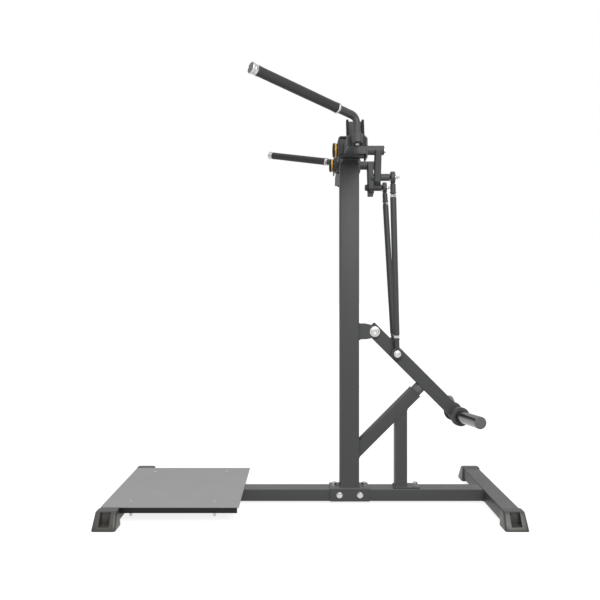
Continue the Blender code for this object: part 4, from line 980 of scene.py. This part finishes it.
@dataclass
class Pivot(Paired):
    """The pivots of the arms: housing, bearings, shaft and cap."""

    shaft: float = 0.0188
    cap: float = 0.029

    @staticmethod
    def at(x: float, way: float = 1.0) -> Place:
        """A place on the shaft's axis."""
        return place_at(on_axis(x), X * way, Y)

    def build(self) -> None:
        """Makes the pieces of the pivots."""
        cap, bore = self.cap, self.shaft + 0.0003
        for side in Side:
            self.shop.dress(side.named("pivot_housing"), Coat.FRAME)
        bush = [*section(0.0224, 0.0063, bore)[:3], (0.0265, 0.0063), (0.0265, 0.0100), (bore, 0.0100)]
        for name, x, way in (("front", 0.118, -1.0), ("rear", 0.222, 1.0)):
            ring = revolve(bush, self.at(x, way), 0.0006)
            self.shop.pair(f"{name}_bush", ring, "frame", Coat.BEARING, f"{name}_bearing")
        bar = revolve(section(self.shaft, 0.2005), self.at(0.098), 0.0012)
        self.add("shaft_bar", bar, node="pivot_shaft")
        self.add("shaft_washer", revolve(section(0.0125, 0.0016), self.at(0.2984), 0.0005), Coat.ZINC)
        self.add("shaft_nut", hexagon_bolt(self.at(0.2998), 0.017, 0.0058), Coat.ZINC)
        lid = [(0, 0.0089), (0.010, 0.0088), (cap - 0.006, 0.0080), (cap - 0.0012, 0.0062), (cap, 0.004),
               (cap, 0.0), (bore, 0.0), (bore, 0.0028), (0, 0.0028)]
        for name, profile, place, coat, node in (
            ("cap_lid", lid, self.at(0.1005, -1.0), Coat.CAP, "shaft_cap"),
            ("cap_ring", section(cap, 0.0068, bore), self.at(0.1008), Coat.RING, "shaft_cap_ring"),
        ):
            self.add(name, revolve(profile, place, 0.0008, 96), coat, node)


@dataclass
class Arm(Paired):
    """The swinging arms with their yokes, swivel barrels and cranks."""

    x: float = 0.166
    lean: float = math.radians(20.0)
    hub: tuple = (0.1186, 0.2214)
    barrel_radius: float = 0.0205
    yoke_y: float = 0.3923
    crank_x: float = 0.275
    crank_lean: float = math.radians(14.3)
    pin_start: float = 0.256

    def __post_init__(self) -> None:
        """Works out the arm's points and directions."""
        self.pivot = on_axis(self.x)
        self.bend = np.array((self.x, 0.428, 1.516))
        self.up = np.array((0.0, -math.sin(self.lean), math.cos(self.lean)))
        self.out = np.array((0.0, math.cos(self.lean), math.sin(self.lean)))
        self.barrel = self.bend - self.up * 0.0942
        self.along = unit(self.barrel - self.pivot)
        self.tilt = math.acos(float(self.along @ self.out))
        self.down = np.array((0.0, -math.sin(self.crank_lean), -math.cos(self.crank_lean)))
        self.pin = on_axis(0.0) + self.down * CRANK_REACH

    def build(self) -> None:
        """Makes the pieces of the arms."""
        self.build_hub()
        self.build_end()
        self.build_yoke()
        self.build_crank()

    def build_hub(self) -> None:
        """Makes the hub round the shaft, its gussets, the flange and the tube."""
        front, rear = self.hub
        hub = revolve(section(0.027, rear - front, 0.0191), place_at(on_axis(front), X, Y), 0.001)
        self.add("arm_hub", hub)
        self.add("arm_flange", block(self.hub, (0.208, 0.214), (1.430, 1.4872)), bevel=0.001)
        outline = np.array([(0.178, 1.436), (0.209, 1.431), (0.209, 1.482), (0.176, 1.474)])
        for name, x in (("front", self.x - 0.0405), ("rear", self.x + 0.0355)):
            self.add(f"arm_gusset_{name}", extrude(outline, Place(X * x, Y, Z, X), 0.005), bevel=0.0008)
        stop = Plane(self.barrel - self.out * self.barrel_radius, self.out)
        outline = rectangle(0.066, 0.040)
        tube = extrude(outline, place_at(self.pivot, self.along, X), 0.3, Plane(Y * 0.211, Y), stop)
        self.add("arm_tube", tube, node="arm_beam", bevel=0.0006)
        z = self.pivot[2] + 0.056 * self.along[2] / self.along[1]
        self.add("arm_seam", seam(place_at((self.x, 0.2142, z), Y, X), outline))

    def build_end(self) -> None:
        """Makes the end plate and the barrel of the swivel."""
        radius, outer = self.barrel_radius, self.barrel_radius - 0.003
        middle = radius * math.tan(self.tilt)
        half = 0.020 / math.cos(self.tilt)
        x, low, high, trim = 0.033, middle - half, middle + half, 0.012
        outline = [(-x, low), (x, low), (x, high - trim), (x - trim, high), (trim - x, high),
                   (-x, high - trim)]
        place = Place(self.barrel - self.out * outer, X, self.up, -self.out)
        self.add("arm_end_plate", extrude(rounded(outline, 0.0015, 2), place, 0.006), Coat.CAP, "", 0.0008)
        profile = [(0.0128, 0.019), (radius, 0.019), (radius, -0.019), (0.0165, -0.019), (0.0165, -0.012),
                   (0.0128, -0.012)]
        self.add("swivel_barrel", revolve(profile, place_at(self.barrel, self.up, X), 0.0012, 80))
        line = np.linspace(-0.014, 0.0175, 20)[:, None] * self.up + self.barrel - self.out * 0.0176
        for name, x in (("front", -0.0112), ("rear", 0.0112)):
            self.add(f"barrel_seam_{name}", bead(line + X * x, X, 0.002, False))

    def build_yoke(self) -> None:
        """Makes the two ears and the web of the yoke."""
        run = (self.yoke_y - self.pivot[1]) / self.along[1]
        normal = np.array((0.0, -self.along[2], self.along[1]))
        foot = (self.pivot + self.along * run + normal * 0.0185) * (0, 1, 1)
        depth, height, slant, sheet = 0.025, 0.082, math.tan(self.tilt), 0.005
        corner = np.array((-0.012, height - 0.012)) + ring_points(0.012, 0.0, 90.0, 9)
        ear = np.concatenate([[(0.0, 0.0)], corner, [(-depth, height), (-depth, depth * slant)]])
        web = np.array([(-depth, depth * slant), (sheet - depth, (depth - sheet) * slant),
                        (sheet - depth, height - 0.001), (-depth, height - 0.001)])
        line = np.linspace(-0.024, -0.002, 14)[:, None] * self.out + foot + self.up * 0.0024
        for name, x, edge in (("front", 0.133, 0.1398), ("rear", 0.190, 0.1922)):
            plate = extrude(ear, Place(foot + X * x, self.out, self.up, X), 0.009)
            self.add(f"yoke_ear_{name}", plate, Coat.CAP, "", 0.0030)
            self.add(f"yoke_seam_{name}", bead(line + X * edge, X, 0.002, False))
        plate = extrude(web, Place(foot + X * 0.138, self.out, self.up, X), 0.056)
        self.add("yoke_web", plate, bevel=0.0008)

    def build_crank(self) -> None:
        """Makes the crank, its pin sleeve and its moulded end."""
        centre, pin = on_axis(self.crank_x), self.pin
        tube = extrude(rectangle(0.025, 0.050), place_at(centre - self.down * 0.002, self.down, X), 0.1242)
        self.add("crank_tube", tube, node="crank_arm", bevel=0.0006)
        seat = place_at(pin + X * self.pin_start, X, Y)
        self.add("pin_sleeve", revolve(section(0.0145, 0.069), seat, 0.0012))
        self.add("pin_head", hexagon_bolt(place_at(seat.ahead(0.0002).origin, -X, Y), 0.022, 0.0062))
        for name, x in (("front", self.crank_x - 0.013), ("rear", self.crank_x + 0.013)):
            self.add(f"pin_seam_{name}", seam(place_at(pin + X * x, X, Y), ring_points(0.0148), 0.0018))
            arc = ring_points(0.0190, -90.0, 90.0, 40)
            self.add(f"crank_seam_{name}", seam(place_at(on_axis(x), X, self.down), arc, 0.0018, False))
        start = place_at(centre + self.down * 0.1225, self.down, X)
        plug = extrude(rectangle(0.025, 0.050, 0.005), start, 0.0190)
        self.add("crank_plug", plug, Coat.CAP, "crank_end_cap", 0.003)


@dataclass
class Handle(Paired):
    """The bent handles that turn in the arms' barrels, with their grips."""

    arm: Arm
    outward: float = math.radians(36.7)
    radius: float = 0.0125
    turn: float = 0.024
    reach: float = 0.440
    ends: float = 0.0195
    collar_at: float = 0.082
    sleeve_at: float = 0.094
    cap_at: float = 0.4303
    disc_at: float = 0.4516
    body = "handle"

    def build(self) -> None:
        """Makes the pieces of the handles."""
        up, bend, barrel = self.arm.up, self.arm.bend, self.arm.barrel
        grip = self.arm.out * math.sin(self.outward) - X * math.cos(self.outward)
        centre = bend + (grip - up) * self.turn
        angle = np.linspace(0.0, HALF_TURN / 2, 28)[:, None]
        corner = centre + (up * np.sin(angle) - grip * np.cos(angle)) * self.turn
        path = np.concatenate([np.linspace(barrel - up * 0.012, corner[0], 6)[:-1], corner,
                               np.linspace(corner[-1], bend + grip * self.reach, 24)[1:]])
        radii = self.radius + 0.0022 * np.clip((np.arange(len(path)) - 12.0) / 20.0, 0.0, 1.0)
        tube = sweep(path, unit(np.cross(up, grip)), radii, 48)
        self.add("handle_bar", tube, Coat.FRAME, "handle_tube", 0.0006)
        ring = revolve(section(0.0165, 0.004, 0.012), place_at(barrel + up * 0.0193, up, X), 0.0008)
        self.add("thrust_ring", ring, Coat.BEARING)
        seat = place_at(barrel - up * 0.0123, -up, X)
        self.add("swivel_washer", revolve(section(0.016, 0.0025), seat, 0.0006), Coat.BEARING)
        self.add("swivel_head", hexagon_bolt(seat.ahead(0.0024), 0.013, 0.0060), Coat.ZINC, "swivel_bolt")
        self.build_grip(place_at(bend, grip, up))

    def build_grip(self, place: Place) -> None:
        """Makes the rubber sleeve with its two plated ends.

        Args:
            place: The corner of the handle, with w along the grip.
        """
        bore, top, length = self.radius + 0.0001, self.ends, 0.336
        run = np.linspace(0.0, length, 169)
        lip = 0.0009 * (np.exp(-((run - 0.006) / 0.005) ** 2) + np.exp(-((run - 0.330) / 0.005) ** 2))
        skin = 0.0170 + lip + 0.0003 * np.sin(HALF_TURN * run / length)
        skin[0] = skin[-1] = 0.0160
        sleeve = np.concatenate([[(bore, 0.0)], np.column_stack([skin, run]), [(bore, length)]])
        skin = revolve(sleeve, place.ahead(self.sleeve_at), 0.0, 56)
        self.add("grip_skin", skin, Coat.GRIP, "grip_sleeve")
        collar = [(bore, 0), (0.0148, 0), (0.0155, 0.0025), (top - 0.001, 0.0035), (top, 0.0045),
                  (top, 0.0100), (top - 0.001, 0.0115), (bore, 0.0115)]
        ring = revolve(collar, place.ahead(self.collar_at), 0.0008, 80)
        self.add("collar_ring", ring, Coat.CHROME, "grip_collar")
        cap = [(bore, 0), (top - 0.0025, 0), (top - 0.0015, 0.0012), (top - 0.0015, 0.0105),
               (top - 0.0035, 0.0115), (top - 0.0035, 0.0132), (top, 0.0142), (top, 0.0205),
               (top - 0.0010, 0.0225), (0.0180, 0.0227), (0.0176, 0.0212), (0, 0.0212), (0, 0.010),
               (bore, 0.010)]
        button = revolve(cap, place.ahead(self.cap_at), 0.001, 80)
        self.add("end_button", button, Coat.CHROME, "grip_end_cap")
        disc = [(0, 0), (0.0174, 0), (0.0174, 0.0007), (0.0168, 0.0011), (0, 0.0011)]
        self.add("button_disc", revolve(disc, place.ahead(self.disc_at), 0.0004, 64), Coat.SATIN)


@dataclass
class Rod(Paired):
    """The push rods with a ball end above and below."""

    arm: Arm
    low: tuple = (0.367924, 0.043, 0.628076)
    pin_x: float = 0.3375
    eye: float = 0.024
    ball: float = 0.0143
    ball_half: float = 0.0103
    shank: float = 0.0798
    body = "rod"

    def build(self) -> None:
        """Makes the pieces of the rods."""
        low, high = np.array(self.low), self.arm.pin + X * self.pin_x
        up = unit(high - low)
        length = float(np.linalg.norm(high - low)) - 2 * self.shank
        bar = revolve(section(0.0125, length, 0.0095), place_at(low + up * self.shank, up, X), 0.0012, 56)
        self.add("rod_tube", bar, node="push_rod")
        self.build_end("upper", place_at(high, X - up * (X @ up), -up))
        self.build_end("lower", place_at(low, Y - up * (Y @ up), up))
        self.build_pin(place_at(high, X, Z))
        half = self.ball_half
        ball = np.concatenate([self.race(self.ball, half), [(0.0083, half), (0.0083, -half)]])
        piece = revolve(ball, place_at(low, Y, Z))
        self.shop.pair("lower_ball", piece, "rod_ball", Coat.CHROME, "lower_rod_ball")

    @staticmethod
    def race(radius: float, half: float) -> Array:
        """The side of a ball from its low end to its high end."""
        reach = math.degrees(math.asin(half / radius))
        return ring_points(radius, -reach, reach, 15)

    def build_end(self, name: str, place: Place) -> None:
        """Makes a rod end: the eye, its collared shank and the lock nut.

        Args:
            name: Which end it is.
            place: The middle of the eye, with w along its bore and u along the rod.
        """
        half, eye = 0.0085, self.eye
        face = np.array([(0.0168, half), (0.0172, half - 0.0008), (0.0185, half - 0.0008), (0.0188, half),
                         (eye - 0.002, half), (eye, half - 0.002)])
        profile = np.concatenate([self.race(self.ball + 0.0003, half), face, face[::-1] * (1.0, -1.0)])
        self.add(f"{name}_eye", revolve(profile, place, 0.0, 80), node=f"{name}_rod_end")
        shank = [(0, 0.100), (0.0092, 0.100), (0.0092, 0.064), (0.0128, 0.064), (0.0128, 0.0595),
                 (0.011, 0.058), (0.011, 0.0268), (0.0083, 0.025), (0.0083, 0.018), (0, 0.018)]
        along = place_at(place.origin, place.u, X)
        self.add(f"{name}_shank", revolve(shank, along, 0.0007, 56))
        self.add(f"{name}_lock_nut", hexagon_bolt(along.ahead(0.0680), 0.022, 0.0112, False), Coat.ZINC)

    def build_pin(self, place: Place) -> None:
        """Makes the upper ball with its spacer, stub and nut.

        Args:
            place: The middle of the ball, with w along the crank's pin.
        """
        half, low, high = self.ball_half, 0.0118, 0.0273
        ball = np.concatenate([[(0, -0.0119), (0.006, -0.0119), (0.011, -half)], self.race(self.ball, half),
                               [(0.010, half), (0.010, low), (0, low)]])
        self.add("upper_ball", revolve(ball, place), Coat.CHROME, "upper_pivot_bolt")
        turns = np.linspace(low, high, 63)
        thread = np.column_stack([0.0048 - 0.0003 * np.cos(2 * HALF_TURN * turns / 0.00125), turns])
        stub = revolve(np.concatenate([[(0, low)], thread, [(0, high)]]), place, 0.0, 40)
        self.add("upper_stub", stub, Coat.ZINC)
        self.add("upper_nut", hexagon_bolt(place.ahead(0.0185), 0.0118, 0.0062, False), Coat.ZINC)


@dataclass
class Lever(Paired):
    """The weight lever, its bracket on the column and the two horns for plates."""

    width: float = 0.050
    height: float = 0.055
    tail: float = 0.024
    length: float = 0.549
    rod_bolt: float = 0.130
    horn: float = 0.02415
    horn_root: float = 0.0253
    horn_tip: float = 0.272
    horn_fore: float = 0.054
    horn_rise: float = 0.144
    stop: float = 0.039
    body = "lever"

    def __post_init__(self) -> None:
        """Works out the lever's points and directions."""
        self.pivot = np.array((0.276, 0.0, 0.720))
        self.along = (X - Z) * SLOPE
        self.up = (X + Z) * SLOPE
        self.horn_way = unit(Y + self.along * self.horn_fore + self.up * self.horn_rise)

    def horn_at(self, y: float) -> Place:
        """A place on the centre line of the right horn.

        Args:
            y: How far out it is.

        Returns:
            The place, with w along the horn.
        """
        out = y - 0.066
        drift = self.along * (0.4957 + out * self.horn_fore) + self.up * (out * self.horn_rise)
        return place_at(self.pivot + drift + Y * y, self.horn_way, X)

    def build(self) -> None:
        """Makes the pieces of the lever."""
        self.build_bracket()
        add = self.shop.piece
        place = place_at(self.pivot - self.along * self.tail, self.along, Y)
        tube = square_tube(self.width, self.height, place, self.length)
        add("lever_tube", tube, "lever", node="lever_arm", bevel=0.0006)
        lid = extrude(rectangle(self.width, self.height), place.ahead(self.length), 0.004)
        add("lever_lid", lid, "lever", bevel=0.0012)
        sleeve = section(0.018, 0.0277, 0.0103, -0.0277)
        add("lever_sleeve", revolve(sleeve, place_at(self.pivot, Y, X), 0.0008), "lever")
        self.build_rod_bolt()
        self.build_horn()

    def build_bracket(self) -> None:
        """Makes the back plate, the cheeks and the pivot bolt."""
        face, z = COLUMN_FACE, self.pivot[2]
        back = block((face, face + 0.010), (-0.038, 0.038), (z - 0.033, z + 0.033))
        self.shop.piece("bracket_back", back, node="lever_bracket", bevel=0.0012)
        nose = np.array((self.pivot[0], z)) + ring_points(0.0255, 97.0, -97.0, 40)
        edge, shoulder, low, high = face + 0.005, 0.241, z - 0.032, z + 0.032
        outline = np.concatenate([[(edge, low), (edge, high), (shoulder, high)], nose, [(shoulder, low)]])
        self.shop.pair("bracket_cheek", extrude(outline, Place(Y * 0.028, X, Z, Y), 0.008), bevel=0.001)
        seat = place_at(self.pivot + Y * 0.0363, Y, X)
        head = [*section(0.0155, 0.0045)[:3], (0.013, 0.006), (0.006, 0.006), (0.0052, 0.0028), (0, 0.0028)]
        washer = revolve(section(0.0215, 0.0025), seat, 0.0008, 80)
        self.shop.pair("pivot_washer", washer, "frame", Coat.ZINC)
        self.shop.pair("pivot_bolt_head", revolve(head, seat.ahead(0.0025), 0.0006, 80), "frame", Coat.ZINC)
        pin = revolve(section(0.010, 0.037, 0.0, -0.037), place_at(self.pivot, Y, X))
        self.shop.piece("pivot_bolt_shank", pin, "frame", Coat.ZINC, "lever_pivot_pin")
        outline = rectangle(0.077, 0.067, SEAM_CORNER)
        self.shop.piece("bracket_seam", seam(place_at((face + 0.0008, 0.0, z), X, Y), outline))

    def build_rod_bolt(self) -> None:
        """Makes the bosses and the bolt that holds both lower balls."""
        centre = self.pivot + self.along * self.rod_bolt
        shank = revolve(section(0.008, 0.06, 0.0, -0.06), place_at(centre, Y, X))
        self.shop.piece("rod_bolt_shank", shank, "lever", Coat.ZINC, "lower_rod_bolt")
        seat = place_at(centre + Y * 0.0235, Y, X)
        self.add("rod_boss", revolve(section(0.011, 0.0089, 0.0083), seat, 0.0006))
        self.add("boss_seam", seam(seat.ahead(0.0017), ring_points(0.0113), 0.0015))
        spacer = [(0.008, 0), (0.011, 0), (0.011, 0.003), (0.015, 0.003), (0.015, 0.0055), (0.008, 0.0055)]
        self.add("rod_spacer", revolve(spacer, seat.ahead(0.0301), 0.0005), Coat.ZINC)
        self.add("rod_bolt_head", hexagon_bolt(seat.ahead(0.0355), 0.0232, 0.0050), Coat.ZINC)

    def build_horn(self) -> None:
        """Makes the horns, their stop collars and the plugs in their ends."""
        horn, top, bore = self.horn, self.stop, self.horn + 0.0002
        length = (self.horn_tip - self.horn_root) / float(self.horn_way[1])
        tube = extrude(ring_points(horn, count=96), self.horn_at(self.horn_root), length - 0.0008,
                       Plane(Y * self.horn_root, Y), None, ring_points(horn - 0.0032, count=96))
        self.add("horn_pipe", tube, Coat.SATIN, "plate_horn", 0.0006)
        inner = horn - 0.0033
        plug = [(0, 0), (horn - 0.0012, 0), (horn - 0.0005, -0.0012), (inner, -0.0013), (inner, -0.006),
                (0, -0.006)]
        self.add("horn_plug", revolve(plug, self.horn_at(self.horn_tip), 0.0004, 96), Coat.BUMPER)
        stop = [(bore, 0), (top - 0.0015, 0), (top, 0.0015), (top, 0.0095), (top - 0.0025, 0.0097),
                (top - 0.0025, 0.0123), (top, 0.0125), (top, 0.0205), (top - 0.0015, 0.022), (bore, 0.022)]
        self.add("stop_collar", revolve(stop, self.horn_at(0.055), 0.0005, 96), node="plate_stop")
        self.add("horn_seam", seam(self.horn_at(0.0268), ring_points(horn + 0.0004), 0.0026))


@dataclass
class Studio:
    """The floor, the light and the camera of the photograph."""

    eye: tuple = (-0.036, -2.830, 0.878)
    lens: float = 39.972
    shift: tuple = (-0.00083, -0.01)
    floor_half: float = 60.0

    def build(self) -> None:
        """Makes the studio: a soft sun from each side and a broad lamp that lights the head more."""
        scene = bpy.context.scene
        scene.view_settings.view_transform = "Standard"
        self.build_camera(scene)
        self.build_floor(scene)
        self.build_world(scene)
        for name, spot, strength, spread in (("key_sun", (0.9, -2.5, 2.3), 0.85, 35.0),
                                             ("left_sun", (-2.4, -1.4, 2.6), 0.25, 50.0)):
            sun = bpy.data.lights.new(name, "SUN")
            sun.energy, sun.angle = strength, math.radians(spread)
            self.hang(sun, spot, (0.0, 0.0, 0.0))
        softbox = bpy.data.lights.new("softbox", "AREA")
        softbox.energy, softbox.size = 38.0, 1.3
        self.hang(softbox, (0.5, -2.5, 1.9), (0.15, 0.0, 1.25))

    def build_camera(self, scene: bpy.types.Scene) -> None:
        """Places the camera level, looking along +Y.

        Args:
            scene: The scene.
        """
        data = bpy.data.cameras.new("camera")
        data.lens, data.sensor_width = self.lens, 36.0
        data.shift_x, data.shift_y = self.shift
        data.clip_end = 200.0
        item = bpy.data.objects.new("camera", data)
        item.location = self.eye
        item.rotation_euler = (HALF_TURN / 2, 0.0, 0.0)
        scene.collection.objects.link(item)
        scene.camera = item

    def build_floor(self, scene: bpy.types.Scene) -> None:
        """Lays a pale floor that shows white to the camera and keeps the machine's soft shadow.

        Args:
            scene: The scene.
        """
        span = (-self.floor_half, self.floor_half)
        mesh = bpy.data.meshes.new("floor")
        mesh.from_pydata(level(-0.0004).points(corners(span, span)).tolist(), [], [(0, 1, 2, 3)])
        item = bpy.data.objects.new("floor", mesh)
        scene.collection.objects.link(item)
        made = bpy.data.materials.new("floor_white")
        made.use_nodes = True
        graph = Graph(made.node_tree)
        path = graph.node("LightPath", {})
        seen = graph.math("MAXIMUM", path["Is Camera Ray"], path["Is Glossy Ray"])
        seen = graph.math("MAXIMUM", seen, path["Is Transmission Ray"])
        graph.fill(made.node_tree.nodes["Principled BSDF"], {
            "Base Color": (0.35, 0.35, 0.35, 1.0), "Roughness": 0.9, "Emission Color": WHITE,
            "Emission Strength": graph.times(seen, 0.84)})
        mesh.materials.append(made)

    @staticmethod
    def build_world(scene: bpy.types.Scene) -> None:
        """Fills the room with soft light, white to the camera, and dimmer near the floor in metal.

        Args:
            scene: The scene.
        """
        world = bpy.data.worlds.new("room")
        world.use_nodes = True
        scene.world = world
        graph = Graph(world.node_tree)
        path = graph.node("LightPath", {})
        clear = graph.math("MAXIMUM", path["Is Camera Ray"], path["Is Transmission Ray"])
        room = graph.node("MapRange", {"Value": clear, "To Min": 0.42, "To Max": 1.0})["Result"]
        way = graph.node("TexCoord", {})["Generated"]
        sky = graph.tree.nodes.new("ShaderNodeMapRange")
        sky.interpolation_type = "SMOOTHSTEP"
        mirrored = graph.fill(sky, {"Value": graph.node("SeparateXYZ", {0: way})["Z"], "From Min": -0.05,
                                    "From Max": 0.75, "To Min": 0.36, "To Max": 1.0})["Result"]
        most = graph.math("MAXIMUM", room, graph.times(path["Is Glossy Ray"], mirrored))
        graph.fill(world.node_tree.nodes["Background"], {"Color": WHITE, "Strength": most})

    @staticmethod
    def hang(lamp: bpy.types.Light, spot: tuple, target: tuple) -> None:
        """Hangs a lamp at a point, turned towards another.

        Args:
            lamp: The lamp.
            spot: Where it hangs.
            target: Where it shines.
        """
        item = bpy.data.objects.new(lamp.name, lamp)
        place = place_at(spot, np.array(spot) - np.array(target), X)
        axes = np.column_stack([place.u, place.v, place.w])
        item.matrix_world = Matrix([[*axes[row], spot[row]] for row in range(3)] + [[0.0, 0.0, 0.0, 1.0]])
        bpy.context.scene.collection.objects.link(item)


def main() -> None:
    """Builds the machine on its frame, then the studio."""
    logging.basicConfig(level=logging.INFO, format="%(message)s")
    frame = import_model()
    shop = Workshop(frame)
    arm = Arm(shop)
    for part in (Base(shop), Deck(shop), Column(shop), Lever(shop), Pivot(shop), arm, Handle(shop, arm),
                 Rod(shop, arm), Studio()):
        part.build()
    LOG.info("%d new pieces", shop.count)
    bpy.context.view_layer.update()


if __name__ == "__main__":
    main()
